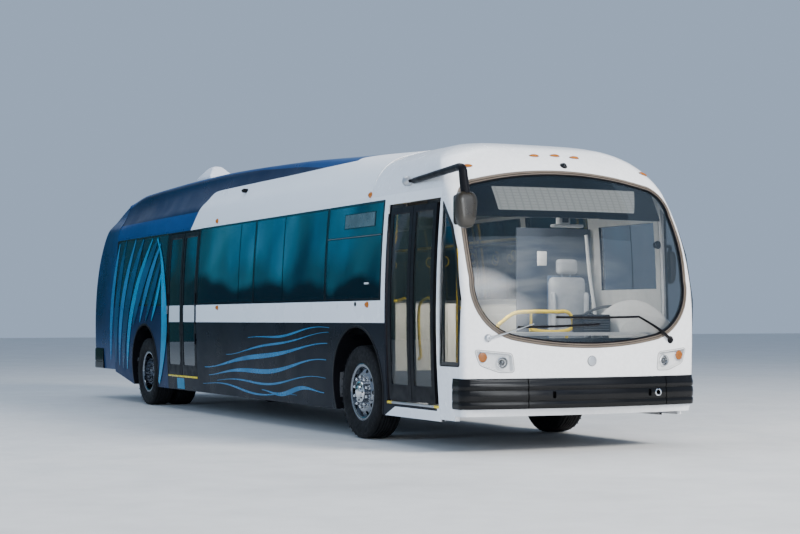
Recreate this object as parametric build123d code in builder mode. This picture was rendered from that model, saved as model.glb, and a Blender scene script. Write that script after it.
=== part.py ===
"""A low-floor electric city bus: shell, glazing, cab, running gear, doors and hatch.

Millimetres, +X to the front, +Y to the street side, +Z up, origin on the ground at mid length.
Places along the bus are measured from the front axle, forward positive, and turned into X by at().
"""

import os
from math import sqrt

from build123d import *

# Overall sizes
LENGTH = 12950
WIDTH = 2590
WHEELBASE = 7520
FRONT_OVERHANG = 2510
BARREL_R = 12000
BELT_Z = 1250
EAVE_Z = 2490
SKIRT_Z = 280
SKIRT_TAIL_Z = 440
WALL = 50

# Nose and tail: plan outlines stacked up, a bowed face between two round corners
BUMPER_PROUD = 25
NOSE_BOW_R = 5700
NOSE_OUTLINES = [
    # height, setback, half width (0 follows the barrel side), corner radius
    (300, 0, 0, 75),
    (775, 0, 0, 75),
    (1250, 0, 0, 75),
    (1500, 15, 0, 78),
    (1750, 60, 0, 82),
    (1950, 118, 0, 86),
    (2150, 200, 0, 92),
    (2330, 292, 0, 105),
    (2490, 392, 0, 125),
    (2600, 472, 1206, 165),
    (2700, 560, 1161, 210),
    (2790, 655, 1095, 245),
    (2860, 750, 1025, 275),
    (2920, 850, 930, 300),
    (2975, 1130, 820, 300),
    (3020, 1450, 650, 280),
    (3050, 1800, 430, 200),
]
NOSE_TOP_Z = 3300
END_TOP_BACK = 400
CORNER_SHARE = 0.6
TAIL_BOW_R = 5200
TAIL_OUTLINES = [
    # the same columns, from the tail face
    (470, 0, 0, 130),
    (1150, 0, 0, 130),
    (1600, 22, 0, 135),
    (2050, 105, 0, 150),
    (2350, 230, 0, 175),
    (2600, 395, 0, 210),
    (2780, 580, 0, 250),
    (2920, 830, 0, 280),
    (3020, 1120, 0, 300),
]
TAIL_TOP_Z = 3300

# Roof sections from tail to nose, each from the eave up: crease, upper edge and crown
ROOF_SECTIONS = [
    # place, crease y, crease z, edge y, edge z, crown z, hollow of the side arc
    (-9090, 1208, 2625, 1030, 3020, 3090, 25),
    (-8100, 1212, 2670, 1050, 3110, 3180, 40),
    (-5200, 1214, 2725, 1050, 3150, 3215, 40),
    (-2300, 1212, 2725, 1030, 3085, 3150, 25),
    (260, 1206, 2600, 860, 2935, 3060, -62),
]
FAIRING_WALL = 40
CEILING_T = 45

# Windscreen and its gasket, seen from ahead, street half
SCREEN_POINTS = [
    # middle y, middle z, end y, end z of each arc, from the bottom centre round to the top centre
    (385, 985, 750, 1035),
    (1080, 1215, 1205, 1620),
    (1217, 1950, 1190, 2260),
    (1135, 2465, 950, 2570),
    (485, 2652, 0, 2680),
]
SCREEN_BOTTOM_Z = 968
GASKET_W = 56
GASKET_PROUD = 8
SCREEN_T = 10
NOSE_CUTS_FROM = 1200

# Lamp outlines seen from ahead and from behind, street half
HEADLAMP = [(1172, 962), (1122, 815), (935, 748), (785, 748), (805, 925)]
HEADLAMP_R = 40
TAIL_LAMP_Y = 1030
TAIL_LAMP_R = 58
TAIL_LAMP_Z = (1010, 1180, 1350)
LAMP_PROUD = 6

# Bumpers
BUMPER_BACK = 2160
BUMPER_Z = 412
BUMPER_TOP_Z = 670
BUMPER_DEPTH = 60
REAR_BUMPER_FRONT = -9700
REAR_BUMPER_TOP_Z = 790
TOW_R = 21
FRONT_TOW_Y = 780
FRONT_TOW_Z = 540
REAR_TOW_Y = -700
REAR_TOW_Z = 600

# Floor and running gear
FLOOR_Z = 390
FLOOR_T = 40
FLOOR_FRONT = 2250
REAR_FLOOR_Z = 900
REAR_FLOOR_BACK = -9980
REAR_STEP_X = -6470
RISER_T = 25
TYRE_R = 485
TYRE_W = 300
RIM_R = 292
TYRE_OUTER_Y = 1250
TWIN_GAP = 45
ARCH_R = 620
ARCH_Z = 540
ARCH_FOOT_SHARE = 0.93
WELL_HALF = 600
WELL_INNER_Y = 570
WELL_TOP_Z = 1090
WELL_T = 25
REAR_WELL_Z = 620
RIM_SEAT = 5
RIM_WALL = 25
RIM_HALF_W = 108
DISC_T = 15
DISC_R = 200
HUB_R = 112
FRONT_DISC_INSET = 45
FRONT_DISH = -30
TWIN_DISH = 75
FRONT_HUB_OUT = 40
REAR_HUB_OUT = 60
INNER_HUB_OUT = 14
TWIN_FACE_GAP = 16
HAND_HOLES = 10
HAND_HOLE_R = 26
HAND_HOLE_CIRCLE_R = 232
STUB_R = 32
STUB_END = 60
KINGPIN_BOSS_R = 58
REAR_SHAFT_R = 70
REAR_HOUSING_R = 175
BEAM_END_INSET = 60
KINGPIN_Y = 985
KINGPIN_R = 24
KNUCKLE_H = 138
LUG_T = 30
AXLE_BEAM = 105

# Heavy masses
BATTERY_SPAN = (-5000, -700)
BATTERY_HALF_W = 1000
BATTERY_T = 75
MOTOR_SPAN = (-9000, -8300)
MOTOR_HALF_W = 350
MOTOR_H = 440

# Doors
FRONT_DOOR_X = 700
FRONT_DOOR_W = 1145
FRONT_DOOR_Z = 405
FRONT_DOOR_TOP_Z = 2390
REAR_DOOR_X = -6420
REAR_DOOR_W = 1250
REAR_DOOR_Z = 457
REAR_DOOR_TOP_Z = 2425
LEAF_T = 35
LEAF_BOTTOM_GAP = 35
POST_R = 19
POST_INSET = 90
POST_GAP = 11
POST_CLEARANCE = 5.5
LEAF_MEETING_GAP = 10
ARM_T = 22
ARM_HALF_W = 15
PIVOT_R = 6
PIVOT_CLEARANCE = 0.5
REAR_LEAF_GAP = 20
REAR_LEAF_END_GAP = 10
HINGE_FROM_END = 12
HINGE_PROUD = 2
HINGE_R = 10
BARREL_H = 140
BARREL_Z = (980, 1250, 1520)
STILE = 62
KICK_H = 150
GLASS_T = 8
GLASS_INSET = 6

# Side windows
BAND_Z = 1430
BAND_TOP_Z = 2450
PANE_T = 12
PANE_EDGE = 45
PANE_JOINT = 14
CURB_PANES = [
    # from, to
    (-9010, -7757),
    (-7743, -6520),
    (-5130, -3042),
    (-3028, -831),
    (-817, 600),
]
STREET_PANES = [
    (-9010, -7100),
    (-7086, -5100),
    (-5086, -3042),
    (-3028, -831),
    (-817, 600),
]
DRIVER_PANE = (710, 1820)
DRIVER_PANE_Z = (1500, 2260)
QUARTER_BACK = 1896
QUARTER_Z = 800
QUARTER_FRONT = [
    # place, z of the leading edge from the sill up
    (2295, 800),
    (2319, 1411),
    (2231, 1871),
    (2120, 2120),
    (1896, 2365),
]

# Hatch in the tail
HATCH_HALF_W = 820
HATCH_Z = 840
HATCH_TOP_Z = 1700
HATCH_GAP = 8
HATCH_HINGE_BACK = 20
HATCH_HINGE_R = 14
HATCH_HINGE_Z = 1702
HATCH_HINGE_Y = 150
HATCH_STRAP_W = 100
HATCH_STRAP_Z = 1640
HATCH_STRAP_DEPTH = 45

# Cab and saloon
DASH_FRONT = 2240
DASH_BACK = 1930
DASH_Y = (-1005, 1145)
DASH_Z = 1080
BINNACLE_BACK = 1560
BINNACLE_Y = (380, 1120)
BINNACLE_Z = (1000, 1390)
SEAT_Y = 650
SEAT_BLOCKS = [
    # from, to, half width, low z, high z of the pedestal, pad, back and headrest
    (780, 1180, 150, 390, 890),
    (720, 1240, 240, 890, 1000),
    (720, 830, 220, 1000, 1680),
    (730, 815, 140, 1680, 1870),
]
HOOP_X = 1610
HOOP_Y = (-530, 300)
HOOP_Z = 1290
WHEEL_CENTRE = (1400, 1250)
WHEEL_R = 225
GRIP_R = 14
COLUMN_FOOT = (1620, 1040)
COLUMN_R = 30
WHEEL_BOSS_R = 70
WHEEL_BOSS_T = 24
SPOKES = 3
SPOKE_W = 34
SPOKE_T = 12
PARTITION_X = 640
PARTITION_Y = (260, 1165)
PARTITION_TOP_Z = 2200
HEADER_BACK = 1700
HEADER_HALF_W = 1060
HEADER_Z = (2205, 2740)
HEADER_T = 60
CEILING_FRONT = 1500
RAIL_R = 16
RAIL_Y = 430
RAIL_Z = 2080
RAIL_SPAN = (-6300, 300)
STANCHIONS = (-6200, -5000, -3600, -2200, -800, 300)
BENCH_DEPTH = 430
BENCH_BACK_H = 520
BENCH_PAD_Z = 430
BENCH_T = 60
BENCHES = [
    # place, side, floor height, rows that follow it, pitch
    (-1250, -1, FLOOR_Z, 5, -780),
    (-1250, 1, FLOOR_Z, 7, -780),
    (-8600, -1, REAR_FLOOR_Z, 2, -800),
    (-8600, 1, REAR_FLOOR_Z, 2, -800),
]
BENCH_Y = (520, 1170)
PEDESTAL_X = (120, 300)
PEDESTAL_Y = (700, 1000)
UNIT_STEPS = [
    # height, from, to, half width of the hood's plan
    (3080, -8440, -7740, 200),
    (3400, -8400, -7780, 190),
    (3570, -8160, -8000, 50),
]

# Mirrors: the arm from the skin to an elbow, and the head that hangs from it
MIRROR_ARM_R = 22
MIRROR_HEAD_T = 76
MIRROR_HEAD_H = 345
MIRRORS = [
    # side, root, elbow and head centre as place, y, z, then the head's width
    (-1, (1140, 1180, 2590), (2465, 1345, 2625), (2465, 1318, 2236), 190),
    (1, (1832, 1220, 1985), (1850, 1358, 1995), (1850, 1358, 1760), 110),
]

CLEARANCE = 6

FRONT_X = LENGTH / 2
FRONT_AXLE_X = FRONT_X - FRONT_OVERHANG
REAR_AXLE_X = FRONT_AXLE_X - WHEELBASE
NOSE_X = FRONT_X - BUMPER_PROUD
TAIL_X = -LENGTH / 2 + BUMPER_PROUD
MASK_BACK = FRONT_DOOR_X + FRONT_DOOR_W + 10
DOME_BACK = ROOF_SECTIONS[-1][0]
CAP_FRONT = ROOF_SECTIONS[0][0]
SALOON_HALF_W = WIDTH / 2 - WALL - 40
WHEEL_Y = TYRE_OUTER_Y - TYRE_W / 2
TWIN_Y = WHEEL_Y - TYRE_W - TWIN_GAP
POST_Y = WIDTH / 2 - POST_INSET
POST_FROM_JAMB = POST_GAP + POST_R
FAR = 2 * WIDTH


def at(place):
    """X of a place measured from the front axle."""
    return FRONT_AXLE_X + place


def side_y(z, inset=0):
    """Half width of the barrel sided body at a height."""
    return WIDTH / 2 - inset - (BARREL_R - sqrt(BARREL_R**2 - (z - BELT_Z) ** 2))


def block(x0, x1, y0, y1, z0, z1):
    """A box between two corners."""
    with BuildPart(mode=Mode.PRIVATE) as b:
        with Locations(((x0 + x1) / 2, (y0 + y1) / 2, (z0 + z1) / 2)):
            Box(abs(x1 - x0), abs(y1 - y0), abs(z1 - z0))
    return b.part


def side_slab(side, x0, x1, z0, z1, outer=0, inner=WALL):
    """A piece of the barrel side between two insets."""
    zm = (z0 + z1) / 2
    with BuildPart(mode=Mode.PRIVATE) as slab:
        with BuildSketch(Plane.YZ.offset(x0)):
            with BuildLine():
                out = [(side * side_y(z, outer), z) for z in (z0, zm, z1)]
                inn = [(side * side_y(z, inner), z) for z in (z1, zm, z0)]
                ThreePointArc(*out)
                Line(out[2], inn[0])
                ThreePointArc(*inn)
                Line(inn[2], out[0])
            make_face()
        extrude(amount=x1 - x0)
    return slab.part


def side_cut(points, side):
    """A prism through one side of the bus, from (place, z) points."""
    with BuildPart(mode=Mode.PRIVATE) as prism:
        with BuildSketch(Plane.XZ):
            with BuildLine():
                Polyline(*[(at(p), z) for p, z in points], close=True)
            make_face()
        extrude(amount=-side * FAR)
    return prism.part


def arch_cut(place, side):
    """The wheel arch opening through one side."""
    with BuildPart(mode=Mode.PRIVATE) as prism:
        with BuildSketch(Plane.XZ):
            with Locations((at(place), ARCH_Z)):
                Circle(ARCH_R)
            with Locations((at(place), ARCH_Z / 2)):
                Rectangle(2 * ARCH_R * ARCH_FOOT_SHARE, ARCH_Z)
        extrude(amount=-side * FAR)
    return prism.part


def roof_outline(row, inset, base_z):
    """Closed body section from base_z up to the crown, in a YZ plane."""
    _, crease_y, crease_z, edge_y, edge_z, crown_z, hollow = row
    crease = (crease_y - inset, crease_z)
    edge = (edge_y - inset, edge_z - inset)
    middle = ((crease[0] + edge[0]) / 2 - hollow, (crease[1] + edge[1]) / 2 - hollow / 2)
    eave = (side_y(EAVE_Z, inset), EAVE_Z)
    with BuildLine(mode=Mode.PRIVATE) as outline:
        if base_z < EAVE_Z:
            low = (side_y(base_z, inset), base_z)
            zm = (base_z + EAVE_Z) / 2
            ThreePointArc(low, (side_y(zm, inset), zm), eave)
        else:
            low = eave
        Line(eave, crease)
        ThreePointArc(crease, middle, edge)
        ThreePointArc(edge, (0, crown_z - inset), (-edge[0], edge[1]))
        ThreePointArc((-edge[0], edge[1]), (-middle[0], middle[1]), (-crease[0], crease[1]))
        Line((-crease[0], crease[1]), (-eave[0], eave[1]))
        if base_z < EAVE_Z:
            ThreePointArc((-eave[0], eave[1]), (-side_y(zm, inset), zm), (-low[0], low[1]))
        Line((-low[0], low[1]), low)
    return outline.line


def roof_form(inset):
    """The roof above the eave between the tail and nose sections, at an inset from the skin."""
    with BuildPart(mode=Mode.PRIVATE) as form:
        for row in ROOF_SECTIONS:
            with BuildSketch(Plane.YZ.offset(at(row[0]))):
                with BuildLine():
                    add(roof_outline(row, inset, EAVE_Z))
                make_face()
        loft(ruled=True)
    return form.part


def plan_outline(z, end_x, half, bow_r, corner_r):
    """Plan of one end of the bus at a height: bowed end face, round corners, flat sides back to mid length."""
    ahead = 1 if end_x > 0 else -1
    side_x = end_x - ahead * (bow_r - sqrt(bow_r**2 - half**2))
    with BuildSketch(Plane.XY.offset(z), mode=Mode.PRIVATE) as plan:
        with BuildLine():
            Polyline((side_x, -half), (0, -half), (0, half), (side_x, half))
            ThreePointArc((side_x, half), (end_x, 0), (side_x, -half))
        make_face()
        fillet(plan.vertices().sort_by(lambda v: abs(v.X))[-2:], corner_r)
    return plan.sketch


def end_form(outlines, end_x, bow_r, top_z, inset, row=None):
    """Solid form of the nose or tail, inset from the skin, kept under the roof section if one is given."""
    ahead = 1 if end_x > 0 else -1
    top = (top_z, outlines[-1][1] + END_TOP_BACK, outlines[-1][2], outlines[-1][3])
    with BuildPart(mode=Mode.PRIVATE) as form:
        for z, back, half_w, corner_r in outlines + [top]:
            half = half_w - inset if half_w else side_y(min(z, top_z - END_TOP_BACK), inset)
            add(plan_outline(z, end_x - ahead * (back + inset), half, bow_r, corner_r - inset * CORNER_SHARE))
        loft(ruled=True)
        if row:
            with BuildSketch(Plane.YZ):
                with BuildLine():
                    add(roof_outline(row, inset, outlines[0][0]))
                make_face()
            extrude(amount=ahead * FRONT_X, mode=Mode.INTERSECT)
    return form.part


def nose_form(inset, row=None):
    """Nose form at an inset from the skin."""
    return end_form(NOSE_OUTLINES, NOSE_X, NOSE_BOW_R, NOSE_TOP_Z, inset, row)


def tail_form(inset, row=None):
    """Tail form at an inset from the skin."""
    return end_form(TAIL_OUTLINES, TAIL_X, TAIL_BOW_R, TAIL_TOP_Z, inset, row)


def bumper_band(end_x, bow_r, corner_r, z0, z1):
    """A bumper: the band between a proud and an inset plan of the end."""
    ahead = 1 if end_x > 0 else -1
    half = WIDTH / 2
    with BuildPart(mode=Mode.PRIVATE) as hollow:
        add(
            plan_outline(
                z0, end_x - ahead * BUMPER_DEPTH, half - BUMPER_DEPTH, bow_r, corner_r - BUMPER_PROUD
            )
        )
        extrude(amount=z1 - z0)
    with BuildPart(mode=Mode.PRIVATE) as band:
        add(plan_outline(z0, end_x + ahead * BUMPER_PROUD, half, bow_r, corner_r + BUMPER_PROUD))
        extrude(amount=z1 - z0)
        add(hollow.part, mode=Mode.SUBTRACT)
    return band.part


def screen_prism(shrink):
    """The windscreen outline pushed through the nose from ahead."""
    with BuildPart(mode=Mode.PRIVATE) as prism:
        with BuildSketch(Plane.YZ.offset(at(NOSE_CUTS_FROM))):
            with BuildLine():
                start = (0, SCREEN_BOTTOM_Z)
                for my, mz, ey, ez in SCREEN_POINTS:
                    ThreePointArc(start, (my, mz), (ey, ez))
                    start = (ey, ez)
                Line(start, (0, SCREEN_BOTTOM_Z))
            make_face()
            mirror(about=Plane.YZ)
            if shrink:
                offset(amount=-shrink, kind=Kind.INTERSECTION)
        extrude(amount=FAR)
    return prism.part


def lamp_prism(side):
    """A headlamp's rounded outline, seen from ahead, pushed out through the nose."""
    with BuildPart(mode=Mode.PRIVATE) as prism:
        with BuildSketch(Plane.YZ.offset(at(NOSE_CUTS_FROM))) as outline:
            with BuildLine():
                Polyline(*[(side * y, z) for y, z in HEADLAMP], close=True)
            make_face()
            fillet(outline.vertices(), HEADLAMP_R)
        extrude(amount=FAR)
    return prism.part


def tail_lamp_prism(side, z):
    """A round tail lamp's outline pushed through the tail."""
    with BuildPart(mode=Mode.PRIVATE) as prism:
        with BuildSketch(Plane.YZ.offset(at(REAR_BUMPER_FRONT))):
            with Locations((side * TAIL_LAMP_Y, z)):
                Circle(TAIL_LAMP_R)
        extrude(amount=-FAR)
    return prism.part


def rod(start, end, radius):
    """A round bar between two points."""
    axis = Vector(*end) - Vector(*start)
    with BuildPart(mode=Mode.PRIVATE) as bar:
        with BuildSketch(Plane(origin=start, z_dir=axis)):
            Circle(radius)
        extrude(amount=axis.length)
    return bar.part


def floor_pan(back, front, top_z, axle_place):
    """A level floor pan with notches for the wheel boxes of one axle."""
    with BuildPart(mode=Mode.PRIVATE) as pan:
        add(block(at(back), at(front), -SALOON_HALF_W, SALOON_HALF_W, top_z - FLOOR_T, top_z))
        for side in (-1, 1):
            add(
                block(
                    at(axle_place - WELL_HALF - WELL_T),
                    at(axle_place + WELL_HALF + WELL_T),
                    side * (WELL_INNER_Y - WELL_T),
                    side * WIDTH,
                    0,
                    WIDTH,
                ),
                mode=Mode.SUBTRACT,
            )
    return pan.part


def wheel_box(axle_place, side, low_z):
    """The box over one wheel, open below and towards the side of the bus."""
    with BuildPart(mode=Mode.PRIVATE) as box:
        add(
            block(
                at(axle_place - WELL_HALF - WELL_T),
                at(axle_place + WELL_HALF + WELL_T),
                side * (WELL_INNER_Y - WELL_T),
                side * SALOON_HALF_W,
                low_z,
                WELL_TOP_Z + WELL_T,
            )
        )
        add(
            block(
                at(axle_place - WELL_HALF),
                at(axle_place + WELL_HALF),
                side * WELL_INNER_Y,
                side * WIDTH,
                0,
                WELL_TOP_Z,
            ),
            mode=Mode.SUBTRACT,
        )
    return box.part


def arm_plate(post_x, pivot_x, z):
    """A flat link from a door post to a leaf's pivot, with the pivot's hole."""
    with BuildPart(mode=Mode.PRIVATE) as plate:
        with BuildSketch(Plane.XY.offset(z)):
            with Locations(((post_x + pivot_x) / 2, -POST_Y)):
                SlotCenterToCenter(abs(pivot_x - post_x), 2 * ARM_HALF_W)
            with Locations((pivot_x, -POST_Y)):
                Circle(PIVOT_R + PIVOT_CLEARANCE, mode=Mode.SUBTRACT)
        extrude(amount=ARM_T)
    return plate.part


def framed_leaf(x0, x1, z0, z1):
    """A glazed door leaf on the curb side, and its pane."""
    with BuildPart(mode=Mode.PRIVATE) as leaf:
        add(side_slab(-1, x0, x1, z0, z1, 0, LEAF_T))
        add(block(x0 + STILE, x1 - STILE, -WIDTH, 0, z0 + KICK_H, z1 - STILE), mode=Mode.SUBTRACT)
    pane = side_slab(
        -1, x0 + STILE, x1 - STILE, z0 + KICK_H, z1 - STILE, GLASS_INSET, GLASS_INSET + GLASS_T
    )
    return leaf.part, pane


def quarter_pane(side):
    """The pane between the front doorway or driver's window and the windscreen."""
    with BuildPart(mode=Mode.PRIVATE) as pane:
        add(side_cut(QUARTER_POINTS, side))
        add(nose_form(GLASS_INSET), mode=Mode.INTERSECT)
        add(nose_form(GLASS_INSET + PANE_T), mode=Mode.SUBTRACT)
    return pane.part


def save(piece, name):
    """Labels a finished piece and writes it."""
    piece.label = name
    export_step(piece, f"parts/{name}.step")


os.makedirs("parts", exist_ok=True)

nose_outer = nose_form(0, ROOF_SECTIONS[-1])
nose_inner = nose_form(WALL, ROOF_SECTIONS[-1])
tail_outer = tail_form(0, ROOF_SECTIONS[0])
tail_inner = tail_form(WALL, ROOF_SECTIONS[0])
QUARTER_POINTS = [(QUARTER_BACK, QUARTER_Z)] + QUARTER_FRONT

nose_proud = nose_form(-LAMP_PROUD)

# Front mask with its dome over the cab
with BuildPart() as front_mask:
    add(nose_outer)
    add(nose_inner, mode=Mode.SUBTRACT)
    add(block(at(MASK_BACK), FRONT_X, -WIDTH, WIDTH, SKIRT_Z, NOSE_TOP_Z), mode=Mode.INTERSECT)
    add(block(at(BUMPER_BACK), FRONT_X, -WIDTH, WIDTH, BUMPER_Z, BUMPER_TOP_Z), mode=Mode.SUBTRACT)
    add(screen_prism(0), mode=Mode.SUBTRACT)
    for side in (-1, 1):
        add(side_cut(QUARTER_POINTS, side), mode=Mode.SUBTRACT)
        add(lamp_prism(side), mode=Mode.SUBTRACT)
with BuildPart() as dome:
    add(nose_outer)
    add(nose_inner, mode=Mode.SUBTRACT)
    add(block(at(DOME_BACK), at(MASK_BACK), -WIDTH, WIDTH, EAVE_Z, NOSE_TOP_Z), mode=Mode.INTERSECT)
    add(front_mask.part)
save(dome.part, "front_mask")

with BuildPart() as headlamps:
    for side in (-1, 1):
        add(lamp_prism(side))
    add(nose_proud, mode=Mode.INTERSECT)
    add(nose_inner, mode=Mode.SUBTRACT)
with BuildPart() as lamps:
    for side in (-1, 1):
        for z in TAIL_LAMP_Z:
            add(tail_lamp_prism(side, z))
    add(tail_form(-LAMP_PROUD), mode=Mode.INTERSECT)
    add(tail_inner, mode=Mode.SUBTRACT)
    add(headlamps.part)
save(lamps.part, "lamps")

with BuildPart() as front_bumper:
    add(bumper_band(NOSE_X, NOSE_BOW_R, NOSE_OUTLINES[0][3], BUMPER_Z, BUMPER_TOP_Z))
    add(block(at(BUMPER_BACK), FRONT_X + FAR, -WIDTH, WIDTH, BUMPER_Z, BUMPER_TOP_Z), mode=Mode.INTERSECT)
    add(rod((0, FRONT_TOW_Y, FRONT_TOW_Z), (FRONT_X + FAR, FRONT_TOW_Y, FRONT_TOW_Z), TOW_R), mode=Mode.SUBTRACT)
save(front_bumper.part, "front_bumper")

# Windscreen in its gasket
with BuildPart() as gasket:
    add(screen_prism(0))
    add(screen_prism(GASKET_W), mode=Mode.SUBTRACT)
    add(nose_form(-GASKET_PROUD), mode=Mode.INTERSECT)
    add(nose_form(WALL), mode=Mode.SUBTRACT)
save(gasket.part, "windscreen_gasket")

with BuildPart() as windscreen:
    add(screen_prism(GASKET_W))
    add(nose_form(GASKET_PROUD), mode=Mode.INTERSECT)
    add(nose_form(GASKET_PROUD + SCREEN_T), mode=Mode.SUBTRACT)
save(windscreen.part, "windscreen")

# Rear cap with its hatch
with BuildPart() as rear_cap:
    add(tail_outer)
    add(tail_inner, mode=Mode.SUBTRACT)
    add(block(-FRONT_X, at(CAP_FRONT), -WIDTH, WIDTH, TAIL_OUTLINES[0][0], TAIL_TOP_Z), mode=Mode.INTERSECT)
    add(block(-FRONT_X - FAR, at(REAR_BUMPER_FRONT), -WIDTH, WIDTH, 0, REAR_BUMPER_TOP_Z), mode=Mode.SUBTRACT)
    add(
        block(
            -FRONT_X,
            at(REAR_BUMPER_FRONT),
            -HATCH_HALF_W - HATCH_GAP,
            HATCH_HALF_W + HATCH_GAP,
            HATCH_Z - HATCH_GAP,
            HATCH_TOP_Z + HATCH_GAP,
        ),
        mode=Mode.SUBTRACT,
    )
    for side in (-1, 1):
        for z in TAIL_LAMP_Z:
            add(tail_lamp_prism(side, z), mode=Mode.SUBTRACT)
save(rear_cap.part, "rear_cap")

with BuildPart() as rear_hatch:
    add(tail_outer)
    add(tail_inner, mode=Mode.SUBTRACT)
    add(
        block(-FRONT_X, at(REAR_BUMPER_FRONT), -HATCH_HALF_W, HATCH_HALF_W, HATCH_Z, HATCH_TOP_Z),
        mode=Mode.INTERSECT,
    )
    hinge_x = TAIL_X + HATCH_HINGE_BACK
    for side in (-1, 1):
        y0, y1 = side * HATCH_HINGE_Y - HATCH_STRAP_W / 2, side * HATCH_HINGE_Y + HATCH_STRAP_W / 2
        add(rod((hinge_x, y0, HATCH_HINGE_Z), (hinge_x, y1, HATCH_HINGE_Z), HATCH_HINGE_R))
        add(block(hinge_x, hinge_x + HATCH_STRAP_DEPTH, y0, y1, HATCH_STRAP_Z, HATCH_TOP_Z - CLEARANCE))
save(rear_hatch.part, "rear_hatch")
print(f"hatch hinge x {hinge_x:.2f}, z {HATCH_HINGE_Z:.2f}")

with BuildPart() as rear_bumper:
    add(bumper_band(TAIL_X, TAIL_BOW_R, TAIL_OUTLINES[0][3], TAIL_OUTLINES[0][0], REAR_BUMPER_TOP_Z))
    add(
        block(-FRONT_X - FAR, at(REAR_BUMPER_FRONT), -WIDTH, WIDTH, 0, REAR_BUMPER_TOP_Z),
        mode=Mode.INTERSECT,
    )
    add(rod((-FRONT_X - FAR, REAR_TOW_Y, REAR_TOW_Z), (0, REAR_TOW_Y, REAR_TOW_Z), TOW_R), mode=Mode.SUBTRACT)
save(rear_bumper.part, "rear_bumper")

# Roof fairing over the ceiling, an upturned trough
with BuildPart() as roof_fairing:
    add(roof_form(0))
    add(roof_form(FAIRING_WALL), mode=Mode.SUBTRACT)
save(roof_fairing.part, "roof_fairing")

with BuildPart() as roof_panel:
    add(
        block(
            at(CAP_FRONT),
            at(CEILING_FRONT),
            -side_y(EAVE_Z, WALL),
            side_y(EAVE_Z, WALL),
            EAVE_Z - CEILING_T,
            EAVE_Z,
        )
    )
save(roof_panel.part, "roof_panel")

# Side walls with their wheel arches, doorways and window rebates
FRONT_DOORWAY = block(
    at(FRONT_DOOR_X), at(FRONT_DOOR_X + FRONT_DOOR_W), -WIDTH, 0, FRONT_DOOR_Z, FRONT_DOOR_TOP_Z
)
REAR_DOORWAY = block(at(REAR_DOOR_X), at(REAR_DOOR_X + REAR_DOOR_W), -WIDTH, 0, REAR_DOOR_Z, REAR_DOOR_TOP_Z)
SKIRT_RISE = [
    (CAP_FRONT, 0),
    (-WHEELBASE - ARCH_R, 0),
    (-WHEELBASE - ARCH_R, SKIRT_Z),
    (CAP_FRONT, SKIRT_TAIL_Z),
]
panes = {
    -1: [(x0, x1, BAND_Z, BAND_TOP_Z) for x0, x1 in CURB_PANES],
    1: [(x0, x1, BAND_Z, BAND_TOP_Z) for x0, x1 in STREET_PANES] + [DRIVER_PANE + DRIVER_PANE_Z],
}
for side, side_name in ((-1, "curb"), (1, "street")):
    with BuildPart() as wall:
        add(side_slab(side, at(CAP_FRONT), at(MASK_BACK), SKIRT_Z, EAVE_Z))
        for place in (0, -WHEELBASE):
            add(arch_cut(place, side), mode=Mode.SUBTRACT)
        add(side_cut(SKIRT_RISE, side), mode=Mode.SUBTRACT)
        if side < 0:
            add(FRONT_DOORWAY, mode=Mode.SUBTRACT)
            add(REAR_DOORWAY, mode=Mode.SUBTRACT)
        for x0, x1, z0, z1 in panes[side]:
            add(side_slab(side, at(x0), at(x1), z0, z1, -WALL, PANE_T), mode=Mode.SUBTRACT)
            add(
                block(
                    at(x0 + PANE_EDGE), at(x1 - PANE_EDGE), 0, side * WIDTH, z0 + PANE_EDGE, z1 - PANE_EDGE
                ),
                mode=Mode.SUBTRACT,
            )
    save(wall.part, f"{side_name}_side_wall")
    with BuildPart() as windows:
        for x0, x1, z0, z1 in panes[side]:
            add(side_slab(side, at(x0), at(x1), z0, z1, 0, PANE_T))
        add(quarter_pane(side))
    save(windows.part, f"{side_name}_windows")

# Floor: low pan, riser and raised rear pan, each a solid of its own, and the boxes over the wheels
low_pan = floor_pan(REAR_STEP_X, FLOOR_FRONT, FLOOR_Z, 0)
rear_pan = floor_pan(REAR_FLOOR_BACK, REAR_STEP_X + RISER_T, REAR_FLOOR_Z, -WHEELBASE)
riser = block(
    at(REAR_STEP_X),
    at(REAR_STEP_X) + RISER_T,
    -SALOON_HALF_W,
    SALOON_HALF_W,
    FLOOR_Z,
    REAR_FLOOR_Z - FLOOR_T,
)
wheel_boxes = [
    wheel_box(place, side, low_z)
    for place, low_z in ((0, FLOOR_Z - FLOOR_T), (-WHEELBASE, REAR_WELL_Z))
    for side in (-1, 1)
]
save(Compound(children=[low_pan, riser, rear_pan] + wheel_boxes), "chassis_floor")

# Battery pack under the low floor and the drive motor behind the rear axle
with BuildPart() as drive_blocks:
    for (back, front), half_w, depth, floor_z in (
        (BATTERY_SPAN, BATTERY_HALF_W, BATTERY_T, FLOOR_Z),
        (MOTOR_SPAN, MOTOR_HALF_W, MOTOR_H, REAR_FLOOR_Z),
    ):
        top_z = floor_z - FLOOR_T
        add(block(at(back), at(front), -half_w, half_w, top_z - depth, top_z))
save(drive_blocks.part, "drive_blocks")

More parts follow.
